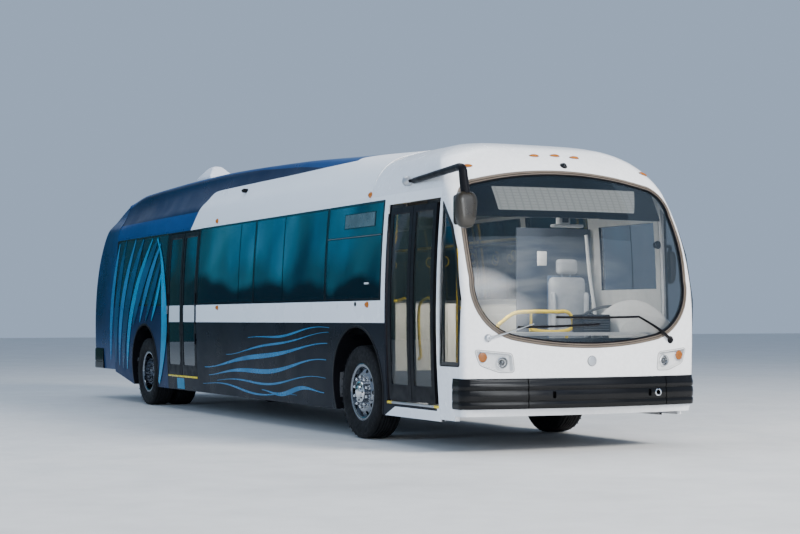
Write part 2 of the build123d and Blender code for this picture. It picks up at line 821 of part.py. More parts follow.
# Axles: a dropped front beam with forked ends, and a rear housing
FORK_LOW = TYRE_R - KNUCKLE_H / 2 - CLEARANCE
FORK_HIGH = TYRE_R + KNUCKLE_H / 2 + CLEARANCE
with BuildPart() as axles:
    beam_top = FLOOR_Z - FLOOR_T - CLEARANCE
    add(
        block(
            at(-AXLE_BEAM / 2),
            at(AXLE_BEAM / 2),
            -KINGPIN_Y + AXLE_BEAM,
            KINGPIN_Y - AXLE_BEAM,
            beam_top - AXLE_BEAM,
            beam_top,
        )
    )
    for side in (-1, 1):
        add(
            block(
                at(-AXLE_BEAM / 2),
                at(AXLE_BEAM / 2),
                side * (WELL_INNER_Y + BEAM_END_INSET),
                side * (KINGPIN_Y - AXLE_BEAM),
                beam_top - AXLE_BEAM,
                FORK_HIGH + LUG_T,
            )
        )
        for z in (FORK_LOW - LUG_T, FORK_HIGH):
            add(
                block(
                    at(-AXLE_BEAM / 2),
                    at(AXLE_BEAM / 2),
                    side * (KINGPIN_Y - AXLE_BEAM),
                    side * (KINGPIN_Y + KINGPIN_R * 2),
                    z,
                    z + LUG_T,
                )
            )
        with Locations((FRONT_AXLE_X, side * KINGPIN_Y, TYRE_R)):
            Cylinder(KINGPIN_R + PIVOT_CLEARANCE, KNUCKLE_H * 3, mode=Mode.SUBTRACT)
    add(rod((REAR_AXLE_X, -TWIN_Y, TYRE_R), (REAR_AXLE_X, TWIN_Y, TYRE_R), REAR_SHAFT_R))
    with Locations((REAR_AXLE_X, 0, TYRE_R)):
        Sphere(REAR_HOUSING_R)
save(axles.part, "axles")

# Steering knuckles with their kingpins and stub axles
for side, side_name in ((-1, "curb"), (1, "street")):
    with BuildPart() as knuckle:
        with Locations((FRONT_AXLE_X, side * KINGPIN_Y, TYRE_R)):
            Cylinder(KINGPIN_R, KNUCKLE_H + 2 * (CLEARANCE + LUG_T))
            Cylinder(KINGPIN_BOSS_R, KNUCKLE_H)
        add(
            rod(
                (FRONT_AXLE_X, side * KINGPIN_Y, TYRE_R),
                (FRONT_AXLE_X, side * (WHEEL_Y + STUB_END), TYRE_R),
                STUB_R,
            )
        )
    save(knuckle.part, f"{side_name}_knuckle")

# Tyre section: offset from the wheel's middle plane as a share of the width, and radius
half = TYRE_W / 2
TYRE_SECTION = [
    # from the middle plane, radius
    (half * 0.72, RIM_R - 4),
    (half * 0.93, RIM_R + 40),
    (half, RIM_R + 100),
    (half * 0.95, TYRE_R - 38),
    (half * 0.84, TYRE_R - 8),
    (0, TYRE_R),
]


def tyre(y):
    """A tyre about the axle line, centred at y."""
    with BuildPart(mode=Mode.PRIVATE) as ring:
        with BuildSketch(Plane.YZ):
            with BuildLine():
                left = [(y - w, r) for w, r in TYRE_SECTION]
                right = [(y + w, r) for w, r in reversed(TYRE_SECTION[:-1])]
                Polyline(*left, *right, close=True)
            make_face()
        revolve(axis=Axis.Y)
    return ring.part


def wheel_rim(y, side, disc_y, dish, hub_out):
    """A disc wheel: barrel, hand-holed disc that meets the barrel at the dish offset, and hub."""
    seat_r = RIM_R - RIM_SEAT
    inner_r = seat_r - RIM_WALL
    back_y = disc_y - side * DISC_T
    with BuildPart(mode=Mode.PRIVATE) as rim:
        with BuildSketch(Plane.YZ):
            with BuildLine():
                Polyline(
                    (y - RIM_HALF_W, seat_r),
                    (y + RIM_HALF_W, seat_r),
                    (y + RIM_HALF_W, inner_r),
                    (y - RIM_HALF_W, inner_r),
                    close=True,
                )
            make_face()
            with BuildLine():
                Polyline(
                    (back_y, HUB_R / 2),
                    (disc_y, HUB_R / 2),
                    (disc_y, DISC_R),
                    (disc_y + side * dish, inner_r + PIVOT_CLEARANCE),
                    (back_y + side * dish, inner_r + PIVOT_CLEARANCE),
                    (back_y, DISC_R),
                    close=True,
                )
            make_face()
        revolve(axis=Axis.Y)
        add(rod((0, back_y, 0), (0, disc_y + side * hub_out, 0), HUB_R))
        with Locations(Plane((0, disc_y, 0), x_dir=(1, 0, 0), z_dir=(0, 1, 0))):
            with PolarLocations(HAND_HOLE_CIRCLE_R, HAND_HOLES):
                Cylinder(HAND_HOLE_R, TYRE_W / 2, mode=Mode.SUBTRACT)
    return rim.part


for side, side_name in ((-1, "curb"), (1, "street")):
    with BuildPart() as front_tyre:
        add(tyre(side * WHEEL_Y).moved(Location((FRONT_AXLE_X, 0, TYRE_R))))
    save(front_tyre.part, f"front_{side_name}_tyre")
    with BuildPart() as front_rim:
        add(wheel_rim(side * WHEEL_Y, side, side * (TYRE_OUTER_Y - FRONT_DISC_INSET), FRONT_DISH, FRONT_HUB_OUT))
        add(
            rod((0, 0, 0), (0, side * (WHEEL_Y + STUB_END + CLEARANCE), 0), STUB_R + CLEARANCE),
            mode=Mode.SUBTRACT,
        )
    save(front_rim.part.moved(Location((FRONT_AXLE_X, 0, TYRE_R))), f"front_{side_name}_rim")
    with BuildPart() as twin_tyres:
        for y in (WHEEL_Y, TWIN_Y):
            add(tyre(side * y).moved(Location((REAR_AXLE_X, 0, TYRE_R))))
    save(twin_tyres.part, f"rear_{side_name}_tyres")
    with BuildPart() as twin_rims:
        gap_y = side * (WHEEL_Y + TWIN_Y) / 2
        half_gap = side * TWIN_FACE_GAP
        add(wheel_rim(side * WHEEL_Y, side, gap_y + half_gap, TWIN_DISH, REAR_HUB_OUT))
        add(wheel_rim(side * TWIN_Y, -side, gap_y - half_gap, TWIN_DISH, INNER_HUB_OUT))
        add(rod((0, gap_y - half_gap, 0), (0, gap_y + half_gap, 0), DISC_R))
        add(
            rod((0, 0, 0), (0, side * (TWIN_Y + CLEARANCE), 0), REAR_SHAFT_R + CLEARANCE),
            mode=Mode.SUBTRACT,
        )
    save(twin_rims.part.moved(Location((REAR_AXLE_X, 0, TYRE_R))), f"rear_{side_name}_rims")

# Front doorway: each leaf hangs from an arm on a post, and its leading edge is guided along the header.
# The leaf's corners stay inside the circle that the post draws about the leaf's pivot.
LEAF_REACH = FRONT_DOOR_W / 2 - POST_FROM_JAMB - LEAF_MEETING_GAP / 2
POST_KEEP = POST_R + POST_CLEARANCE
ARM_R = (LEAF_REACH**2 - POST_KEEP**2 + POST_INSET**2) / (2 * LEAF_REACH - 2 * POST_KEEP)
LEAF_HALF = LEAF_REACH - ARM_R
LEAF_Z = FRONT_DOOR_Z + LEAF_BOTTOM_GAP
LEAF_TOP_Z = FRONT_DOOR_TOP_Z - LEAF_BOTTOM_GAP - CLEARANCE
ARM_LOW_Z = FRONT_DOOR_Z + CLEARANCE
ARM_HIGH_Z = LEAF_TOP_Z + CLEARANCE
door_centre = at(FRONT_DOOR_X + FRONT_DOOR_W / 2)
for name, ahead in (("aft", 1), ("fore", -1)):
    post_x = door_centre - ahead * (FRONT_DOOR_W / 2 - POST_FROM_JAMB)
    pivot_x = post_x + ahead * ARM_R
    with BuildPart() as arm:
        add(rod((post_x, -POST_Y, FRONT_DOOR_Z), (post_x, -POST_Y, FRONT_DOOR_TOP_Z - CLEARANCE), POST_R))
        for z in (ARM_LOW_Z, ARM_HIGH_Z):
            add(arm_plate(post_x, pivot_x, z))
    save(arm.part, f"front_door_{name}_arm")
    x0 = min(pivot_x - LEAF_HALF, pivot_x + LEAF_HALF)
    leaf_form, pane = framed_leaf(x0, x0 + 2 * LEAF_HALF, LEAF_Z, LEAF_TOP_Z)
    with BuildPart() as leaf:
        add(leaf_form)
        for z, pin_z0, pin_z1 in (
            (LEAF_Z, ARM_LOW_Z, LEAF_Z),
            (LEAF_TOP_Z - ARM_T, LEAF_TOP_Z, ARM_HIGH_Z + ARM_T),
        ):
            add(
                block(
                    pivot_x - ARM_HALF_W,
                    pivot_x + ARM_HALF_W,
                    -side_y(z, LEAF_T / 2),
                    -POST_Y + ARM_HALF_W,
                    z,
                    z + ARM_T,
                )
            )
            add(rod((pivot_x, -POST_Y, pin_z0), (pivot_x, -POST_Y, pin_z1), PIVOT_R))
    save(leaf.part, f"front_door_{name}_leaf")
    save(pane, f"front_door_{name}_glass")
    print(f"front door {name}: post x {post_x:.2f}, pivot x {pivot_x:.2f}, y {-POST_Y:.2f}")

# Rear doorway: two leaves on hinge barrels at the jambs, opening outwards
rear_centre = at(REAR_DOOR_X + REAR_DOOR_W / 2)
for name, ahead in (("aft", 1), ("fore", -1)):
    end_x = rear_centre - ahead * (REAR_DOOR_W / 2 - REAR_LEAF_END_GAP)
    meet_x = rear_centre - ahead * REAR_LEAF_GAP / 2
    hinge_x = end_x + ahead * HINGE_FROM_END
    leaf_form, pane = framed_leaf(
        min(end_x, meet_x), max(end_x, meet_x), REAR_DOOR_Z + CLEARANCE, REAR_DOOR_TOP_Z - CLEARANCE
    )
    with BuildPart() as rear_leaf:
        add(leaf_form)
        for z in BARREL_Z:
            with Locations((hinge_x, -WIDTH / 2 - HINGE_PROUD, z)):
                Cylinder(HINGE_R, BARREL_H)
    save(rear_leaf.part, f"rear_door_{name}_leaf")
    save(pane, f"rear_door_{name}_glass")
    print(f"rear door {name}: hinge x {hinge_x:.2f}, y {-WIDTH / 2 - HINGE_PROUD:.2f}")

# Cab
with BuildPart() as dashboard:
    add(block(at(DASH_BACK), at(DASH_FRONT), *DASH_Y, FLOOR_Z, DASH_Z))
    add(block(at(BINNACLE_BACK), at(DASH_FRONT), *BINNACLE_Y, *BINNACLE_Z))
    column_end = Vector(at(WHEEL_CENTRE[0]), SEAT_Y, WHEEL_CENTRE[1])
    column_start = Vector(at(COLUMN_FOOT[0]), SEAT_Y, COLUMN_FOOT[1])
    add(rod(tuple(column_start), tuple(column_end), COLUMN_R))
    with Locations(Plane(origin=column_end, z_dir=column_end - column_start)):
        Torus(WHEEL_R, GRIP_R)
        Cylinder(WHEEL_BOSS_R, WHEEL_BOSS_T)
        with PolarLocations(0, SPOKES):
            with Locations((WHEEL_R / 2, 0)):
                Box(WHEEL_R, SPOKE_W, SPOKE_T)
save(dashboard.part, "dashboard")

with BuildPart() as driver_seat:
    for x0, x1, half_w, z0, z1 in SEAT_BLOCKS:
        add(block(at(x0), at(x1), SEAT_Y - half_w, SEAT_Y + half_w, z0, z1))
save(driver_seat.part, "driver_seat")

with BuildPart() as partition:
    add(
        block(
            at(PARTITION_X),
            at(PARTITION_X) + RISER_T,
            *PARTITION_Y,
            FLOOR_Z,
            PARTITION_TOP_Z,
        )
    )
save(partition.part, "driver_partition")

# Header behind the top of the windscreen, which holds the sign
with BuildPart() as sign:
    add(block(at(HEADER_BACK), FRONT_X, -HEADER_HALF_W, HEADER_HALF_W, *HEADER_Z))
    add(nose_inner, mode=Mode.INTERSECT)
    add(nose_form(WALL + HEADER_T), mode=Mode.SUBTRACT)
save(sign.part, "destination_sign")

# Saloon seats: a pad on a pedestal with an upright back, in rows
with BuildPart() as seats:
    for place, side, floor_z, count, pitch in BENCHES:
        for row in range(count):
            x = at(place + row * pitch)
            y0, y1 = side * BENCH_Y[0], side * BENCH_Y[1]
            top = floor_z + BENCH_PAD_Z
            add(
                block(
                    x + PEDESTAL_X[0],
                    x + PEDESTAL_X[1],
                    side * PEDESTAL_Y[0],
                    side * PEDESTAL_Y[1],
                    floor_z,
                    top - BENCH_T,
                )
            )
            add(block(x, x + BENCH_DEPTH, y0, y1, top - BENCH_T, top))
            add(block(x, x + BENCH_T, y0, y1, top, top + BENCH_BACK_H))
save(seats.part, "passenger_seats")

# Grab rails: two overhead rails on stanchions, and a hoop beside the dashboard
with BuildPart() as rails:
    for side in (-1, 1):
        y = side * RAIL_Y
        add(rod((at(RAIL_SPAN[0]), y, RAIL_Z), (at(RAIL_SPAN[1]), y, RAIL_Z), RAIL_R))
        for place in STANCHIONS:
            add(rod((at(place), y, FLOOR_Z), (at(place), y, EAVE_Z - CEILING_T), RAIL_R))
    for y in HOOP_Y:
        add(rod((at(HOOP_X), y, FLOOR_Z), (at(HOOP_X), y, HOOP_Z), RAIL_R))
    add(rod((at(HOOP_X), HOOP_Y[0], HOOP_Z), (at(HOOP_X), HOOP_Y[1], HOOP_Z), RAIL_R))
    for y in HOOP_Y:
        with Locations((at(HOOP_X), y, HOOP_Z)):
            Sphere(RAIL_R)
save(rails.part, "grab_rails")

# Roof unit: a narrow peaked hood on the middle line
with BuildPart() as roof_unit:
    for z, back, front, half_w in UNIT_STEPS:
        with BuildSketch(Plane.XY.offset(z)):
            with Locations((at((back + front) / 2), 0)):
                Rectangle(front - back, 2 * half_w)
    loft(ruled=True)
    add(roof_form(0), mode=Mode.SUBTRACT)
save(roof_unit.part, "roof_unit")

# Mirrors: an arm out of the skin at each front corner, and a head hanging from it
with BuildPart() as mirrors:
    for side, *points, head_w in MIRRORS:
        root, elbow, head = [(at(x), side * y, z) for x, y, z in points]
        add(rod(root, elbow, MIRROR_ARM_R))
        with Locations(elbow):
            Sphere(MIRROR_ARM_R)
        add(rod(elbow, head, MIRROR_ARM_R))
        with Locations(head):
            Box(MIRROR_HEAD_T, head_w, MIRROR_HEAD_H)
    add(nose_outer, mode=Mode.SUBTRACT)
    add(side_slab(1, at(FRONT_DOOR_X), at(MASK_BACK), SKIRT_Z, EAVE_Z), mode=Mode.SUBTRACT)
save(mirrors.part, "mirrors")
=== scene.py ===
"""Looks of the city bus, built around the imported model. Metres, in the model's own frame."""

from bisect import bisect_right
from math import acos, atan2, cos, pi, radians, sin, sqrt

import bmesh
import bpy
from mathutils import Matrix, Vector


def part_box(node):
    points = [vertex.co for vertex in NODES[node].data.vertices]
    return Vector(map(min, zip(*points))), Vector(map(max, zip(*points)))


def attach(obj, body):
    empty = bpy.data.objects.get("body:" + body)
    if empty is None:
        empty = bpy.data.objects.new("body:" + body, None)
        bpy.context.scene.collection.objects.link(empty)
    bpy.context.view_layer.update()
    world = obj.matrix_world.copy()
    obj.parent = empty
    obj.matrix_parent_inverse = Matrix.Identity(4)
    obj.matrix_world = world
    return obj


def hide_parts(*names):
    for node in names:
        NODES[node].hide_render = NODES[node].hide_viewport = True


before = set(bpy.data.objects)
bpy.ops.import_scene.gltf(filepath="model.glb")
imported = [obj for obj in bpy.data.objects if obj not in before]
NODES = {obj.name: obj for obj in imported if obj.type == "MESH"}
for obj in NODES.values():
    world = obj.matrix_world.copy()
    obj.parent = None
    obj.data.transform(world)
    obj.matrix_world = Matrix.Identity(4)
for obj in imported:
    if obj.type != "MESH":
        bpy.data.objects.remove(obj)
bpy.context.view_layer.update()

# Sizes that the model is built to
FRONT_AXLE = 3.965
REAR_AXLE = -3.555
HALF_W = 1.295
BARREL_R = 12.0
BELT_Z = 1.25
EAVE_Z = 2.49
FACE_X = 6.45
NOSE_BOW = 5.7
TAIL_BOW = 5.2
TYRE_R = 0.485
WHEEL_Y = 1.10
TWIN_Y = 0.755
FLOOR_Z = 0.39
MASK_BACK = 1.855
DOME_BACK = 0.26
CAP_FRONT = -9.09
CURB, STREET = -1, 1
SIDES = (CURB, STREET)


def add_object(name, data):
    """Links a new object into the scene."""
    obj = bpy.data.objects.new(name, data)
    bpy.context.collection.objects.link(obj)
    return obj


def at(place):
    """X of a place measured in metres from the front axle."""
    return FRONT_AXLE + place


def seen(x):
    """X of a place read from the photo, whose frame starts 90 mm ahead of the axle."""
    return FRONT_AXLE + x - 0.09


def side_y(z, proud=0.0):
    """Half width of the barrel side at a height, with an offset out of the skin."""
    return HALF_W + proud - (BARREL_R - sqrt(BARREL_R**2 - (z - BELT_Z) ** 2))


def smooth(rows, column):
    """A monotone cubic through one column of a table, against its first column."""
    xs = [row[0] for row in rows]
    ys = [row[column] for row in rows]
    d = [(b - a) / (q - p) for a, b, p, q in zip(ys, ys[1:], xs, xs[1:])]
    m = [d[0]] + [0 if a * b <= 0 else 2 * a * b / (a + b) for a, b in zip(d, d[1:])] + [d[-1]]

    def value(x):
        """The cubic's value at x, held level beyond both ends."""
        x = min(max(x, xs[0]), xs[-1])
        i = min(bisect_right(xs, x) - 1, len(d) - 1)
        h = xs[i + 1] - xs[i]
        t = (x - xs[i]) / h
        rise = (1 + 2 * t) * (1 - t) ** 2 * ys[i] + t * (1 - t) ** 2 * h * m[i]
        return rise + t * t * (3 - 2 * t) * ys[i + 1] + t * t * (t - 1) * h * m[i + 1]

    return value


class End:
    """The skin of the nose or tail: at every height a bowed face between round corners."""

    def __init__(self, rows, ahead, bow, half_rows):
        self.ahead, self.bow, self.rows = ahead, bow, rows
        self.back, self.corner = smooth(rows, 1), smooth(rows, 2)
        self.upper = smooth(half_rows, 1)

    def plan(self, z, inset):
        """Face, corner centre, half width and corner radius of the plan at a height."""
        half = (side_y(z) if z < EAVE_Z else self.upper(z)) - inset
        r = max(0.004, min(self.corner(z) - inset * 0.6, half * 0.9))
        face = FACE_X - self.back(z) - inset
        ahead_of = face - self.bow + sqrt((self.bow - r) ** 2 - max(0, half - r) ** 2)
        return face, ahead_of, half, r

    def x(self, y, z, proud=0.0):
        """X of the skin above a point of the end view."""
        face, centre, half, r = self.plan(z, -proud)
        y = min(abs(y), half)
        if y <= self.bow * (half - r) / (self.bow - r):
            reach = face - self.bow + sqrt(self.bow**2 - y * y)
        else:
            reach = centre + sqrt(max(0, r * r - (y - half + r) ** 2))
        return self.ahead * reach

    def contour(self, z, back, inset=0.0, n=(30, 10, 12)):
        """Plan points at a height, from the street side's back end round to the curb side's."""
        face, _, half, r = self.plan(z, inset)
        return self.band(z, face, half, r, back, n)

    def band(self, z, face, half, r, back, n):
        """Plan points of a bowed face with round corners and straight flanks back to a place."""
        lean = (half - r) / (self.bow - r)
        turn = acos(lean)
        centre = face - self.bow + sqrt((self.bow - r) ** 2 - (half - r) ** 2)
        pts = [(face - self.bow + sqrt(self.bow**2 - y * y), y) for y in
               (self.bow * lean * i / n[0] for i in range(n[0]))]
        pts += [(centre + r * sin(turn * (1 - i / n[1])), half - r + r * cos(turn * (1 - i / n[1])))
                for i in range(n[1] + 1)]
        pts += [(centre + (back - centre) * i / n[2], half) for i in range(1, n[2] + 1)]
        pts = [(self.ahead * x, y) for x, y in pts]
        return [(x, y, z) for x, y in reversed(pts)] + [(x, -y, z) for x, y in pts[1:]]


def levels(rows, parts):
    """Heights of a table's rows with even steps between them."""
    zs = [row[0] for row in rows]
    return [a + (b - a) * i / parts for a, b in zip(zs, zs[1:]) for i in range(parts)] + [zs[-1]]


NOSE_ROWS = [
    # height, setback, corner radius
    (0.300, 0.000, 0.075),
    (0.775, 0.000, 0.075),
    (1.250, 0.000, 0.075),
    (1.500, 0.015, 0.078),
    (1.750, 0.060, 0.082),
    (1.950, 0.118, 0.086),
    (2.150, 0.200, 0.092),
    (2.330, 0.292, 0.105),
    (2.490, 0.392, 0.125),
    (2.600, 0.472, 0.165),
    (2.700, 0.560, 0.210),
    (2.790, 0.655, 0.245),
    (2.860, 0.750, 0.275),
    (2.920, 0.850, 0.300),
    (2.960, 0.985, 0.300),
    (2.990, 1.160, 0.280),
    (3.020, 1.420, 0.250),
    (3.045, 1.750, 0.180),
    (3.060, 2.222, 0.006),
]
NOSE_HALF = [
    # height, half width
    (2.45, side_y(2.45)),
    (2.49, side_y(2.49)),
    (2.60, 1.206),
    (2.70, 1.161),
    (2.79, 1.095),
    (2.86, 1.012),
    (2.92, 0.885),
    (2.96, 0.760),
    (2.99, 0.640),
    (3.02, 0.490),
    (3.045, 0.300),
    (3.06, 0.012),
]
TAIL_ROWS = [
    # height, setback, corner radius
    (0.470, 0.000, 0.130),
    (0.790, 0.000, 0.130),
    (1.150, 0.000, 0.130),
    (1.600, 0.022, 0.135),
    (2.050, 0.105, 0.150),
    (2.350, 0.230, 0.175),
    (2.600, 0.395, 0.210),
    (2.780, 0.580, 0.250),
    (2.920, 0.830, 0.280),
    (3.010, 1.090, 0.300),
    (3.055, 1.230, 0.280),
    (3.080, 1.290, 0.200),
    (3.090, 1.322, 0.006),
]
TAIL_HALF = [
    # height, half width
    (2.45, side_y(2.45)),
    (2.49, side_y(2.49)),
    (2.625, 1.208),
    (2.78, 1.110),
    (2.92, 1.058),
    (3.00, 1.036),
    (3.03, 0.930),
    (3.055, 0.728),
    (3.08, 0.389),
    (3.09, 0.012),
]
NOSE = End(NOSE_ROWS, 1, NOSE_BOW, NOSE_HALF)
TAIL = End(TAIL_ROWS, -1, TAIL_BOW, TAIL_HALF)

# Camera, solved from the photo's wheels, doorways and glazing lines; its place is from the front axle
CAM_PLACE = (15.446, -8.242, 1.242)
CAM_YAW = 0.450
CAM_PITCH = 0.032
CAM_ROLL = 0.001
FOCAL_PX = 1625.1
PHOTO_W = 800
SENSOR = 36.0


def add_camera():
    """The camera at the photo's own place."""
    data = bpy.data.cameras.new("camera")
    data.sensor_width = SENSOR
    data.sensor_fit = "HORIZONTAL"
    data.lens = FOCAL_PX * SENSOR / PHOTO_W
    data.clip_end = 200
    camera = add_object("camera", data)
    look = Vector((-cos(CAM_YAW) * cos(CAM_PITCH), sin(CAM_YAW) * cos(CAM_PITCH), sin(CAM_PITCH)))
    right = Matrix.Rotation(CAM_ROLL, 3, look) @ Vector((sin(CAM_YAW), cos(CAM_YAW), 0))
    up = right.cross(look)
    turn = Matrix((right, up, -look)).transposed().to_4x4()
    x, y, z = CAM_PLACE
    camera.matrix_world = Matrix.Translation((FRONT_AXLE + x, y, z)) @ turn
    bpy.context.scene.camera = camera


# Sockets whose names aren't just capitals of the keyword
SOCKETS = {"ior": "IOR", "specular": "Specular IOR Level"}


class Shader:
    """A material's node tree with short ways to add nodes."""

    def __init__(self, name):
        self.mat = bpy.data.materials.new(name)
        self.mat.use_nodes = True
        self.tree = self.mat.node_tree
        self.tree.nodes.clear()
        out = self.node("OutputMaterial")
        self.bsdf = self.node("BsdfPrincipled")
        self.feed(out.inputs[0], self.bsdf.outputs[0])
        self.coords = self.node("TexCoord").outputs["Object"]
        self.x, self.y, self.z = self.node("SeparateXYZ", self.coords).outputs

    def node(self, kind, *values, **props):
        """Adds a node, sets its properties and feeds its first sockets."""
        made = self.tree.nodes.new("ShaderNode" + kind)
        for key, value in props.items():
            setattr(made, key, value)
        for socket, value in zip(made.inputs, values):
            self.feed(socket, value)
        return made

    def feed(self, target, value):
        """Links a socket, or sets it to a constant."""
        if isinstance(value, bpy.types.NodeSocket):
            self.tree.links.new(value, target)
        else:
            target.default_value = (*value, 1) if isinstance(value, tuple) else value

    def put(self, **values):
        """Feeds the surface's sockets, named in small letters."""
        for name, value in values.items():
            self.feed(self.bsdf.inputs[SOCKETS.get(name, name.replace("_", " ").title())], value)

    def math(self, operation, *values):
        """Folds values with one operation, from left to right."""
        total = values[0]
        for value in values[1:]:
            total = self.node("Math", total, value, operation=operation).outputs[0]
        return total

    def plus(self, *values):
        """A sum."""
        return self.math("ADD", *values)

    def minus(self, *values):
        """The first value less the others."""
        return self.math("SUBTRACT", *values)

    def times(self, *values):
        """A product, which is also what several masks have in common."""
        return self.math("MULTIPLY", *values)

    def above(self, value, level):
        """1 where a value is over a level."""
        return self.math("GREATER_THAN", value, level)

    def below(self, value, level):
        """1 where a value is under a level."""
        return self.math("LESS_THAN", value, level)

    def within(self, value, low, high):
        """1 where a value lies between two levels."""
        return self.times(self.above(value, low), self.below(value, high))

    def line(self, value, base, gain, start):
        """A value's height over a base, times a gain, added to a start."""
        return self.plus(self.times(self.minus(value, base), gain), start)

    def noise(self, scale, detail=3.0, stretch=(1, 1, 1)):
        """A cloudy factor, stretched along the axes if asked."""
        placed = self.node("Mapping", self.coords)
        placed.inputs["Scale"].default_value = stretch
        made = self.node("TexNoise", placed.outputs[0])
        made.inputs["Scale"].default_value = scale
        made.inputs["Detail"].default_value = detail
        return made.outputs["Fac"]

    def bands(self, axis, scale):
        """Even stripes across an axis."""
        made = self.node("TexWave", self.coords, scale, wave_type="BANDS", bands_direction=axis)
        return made.outputs["Fac"]

    def rim(self, blend):
        """A factor that grows where the surface is seen at a glance."""
        return self.node("LayerWeight", blend).outputs["Fresnel"]

    def spread(self, fac, low, high, a=0.35, b=0.65):
        """Maps a factor from a..b to low..high."""
        return self.node("MapRange", fac, a, b, low, high).outputs[0]

    def drift(self, *noise):
        """A noise spread over 0 to 1."""
        return self.spread(self.noise(*noise), 0, 1)

    def mix(self, fac, a, b, blend="MIX"):
        """Mixes two colours, each a tuple or a socket."""
        made = self.node("Mix", fac, data_type="RGBA", blend_type=blend)
        self.feed(made.inputs[6], a)
        self.feed(made.inputs[7], b)
        return made.outputs[2]

    def bump(self, height, strength, distance=0.002):
        """Relief on the surface from a height."""
        made = self.node("Bump")
        made.inputs["Strength"].default_value = strength
        made.inputs["Distance"].default_value = distance
        self.feed(made.inputs["Height"], height)
        self.feed(self.bsdf.inputs["Normal"], made.outputs[0])


def shade(colour, amount):
    """A colour made lighter or darker."""
    return tuple(min(1, c * amount) for c in colour)


def worn(s, rough, coat, scale, bump, grain, spec=0.5):
    """Gloss that varies over the piece, a clear coat and a fine grain."""
    s.put(roughness=s.spread(s.noise(scale * 3.1, 5), rough * 0.8, min(1, rough * 1.25)), specular=spec,
          coat_weight=coat, coat_roughness=0.04)
    if bump:
        s.bump(s.noise(grain, 3), bump)


def toned(s, colour, vary, scale):
    """A colour in two tones that drift over the piece, with a finer mottle."""
    tone = s.mix(s.drift(scale, 4), shade(colour, 1 - vary), shade(colour, 1 + vary))
    return s.mix(1, tone, s.spread(s.noise(scale * 9, 2), 0.94, 1.0), "MULTIPLY")


def finish(name, colour, rough, metal=0.0, coat=0.0, vary=0.12, scale=3.0, bump=0.0, grain=200.0, spec=0.5):
    """A worked finish in one colour."""
    s = Shader(name)
    s.put(base_color=toned(s, colour, vary, scale), metallic=metal)
    worn(s, rough, coat, scale, bump, grain, spec)
    return s.mat


def film(name, colour, vary, scale):
    """A coloured film on the paint."""
    return finish(name, colour, 0.3, vary=vary, scale=scale, bump=0.01, grain=60, spec=0.2)


def glass(name, colour, body, edge=1.0, rough=0.02, ior=1.52):
    """Glass whose body share shows its own tint, with a stronger mirror at a glance."""
    s = Shader(name)
    s.put(base_color=toned(s, colour, 0.2, 1.3), roughness=s.spread(s.noise(4, 3), rough * 0.7, rough * 1.3),
          ior=ior, specular=0.9, coat_weight=1.0, coat_roughness=0.01,
          alpha=s.spread(s.rim(0.35), body, edge, 0.05, 0.9))
    return s.mat


def lamp_lens(name, colour, glow):
    """Coloured lens with fine vertical flutes, and a faint glow that is painted light lifting its colour;
    the lamp is not lit.
    """
    s = Shader(name)
    s.put(base_color=toned(s, colour, 0.12, 20), emission_color=colour, emission_strength=glow,
          coat_weight=0.4, roughness=s.spread(s.noise(30, 2), 0.12, 0.22))
    s.bump(s.bands("Y", 30), 0.25, 0.003)
    return s.mat


# Colours, and the fields of the livery
WHITE = (0.84, 0.85, 0.87)
NAVY = (0.003, 0.012, 0.040)
DEEP_BLUE = (0.004, 0.045, 0.150)
CHARCOAL = (0.007, 0.009, 0.014)
TRIM_BLACK = (0.006, 0.006, 0.008)
LINING = (0.60, 0.61, 0.60)
STRIPE_Z = (1.204, 1.429)
STRIPE_X = (seen(-6.52), seen(0.77))
BAND_Z, BAND_TOP_Z = 1.430, 2.450
BAND_END_X = at(0.61)
TAIL_ZONE_X = seen(-6.36)
JAMB_X = (at(0.612), at(0.70))
HEADER_X, HEADER_Z = at(0.69), 2.3
FORE_X = at(1.80)
SKIRT_FOOT = (at(0.635), 0.279)
SKIRT_TOP_Z = 0.376
SKIRT_GAIN = 2.55
DIAGONAL_FOOT, DIAGONAL_GAIN = (seen(-5.5), 2.44), 1.18
CROWN_LINE_X, CROWN_LINE_Z, CROWN_LINE_SAG = at(-2.6), 2.935, 0.0085
CROWN_FORE_X = at(-0.66)
# Band of the crown's sides that takes painted shade
CROWN_SHADE_Y, CROWN_SHADE_Z = 1.045, (2.68, 3.12)
COVER_X, COVER_Y = at(-0.15), -0.6
CAB_GLASS_X = at(0.66)
PAINT_DEPTH, LINING_DEPTH = 0.014, 0.046


def diagonal(s):
    """X of the slanting line where the white front field ends and the blue tail field starts."""
    return s.line(s.z, DIAGONAL_FOOT[1], DIAGONAL_GAIN, DIAGONAL_FOOT[0])


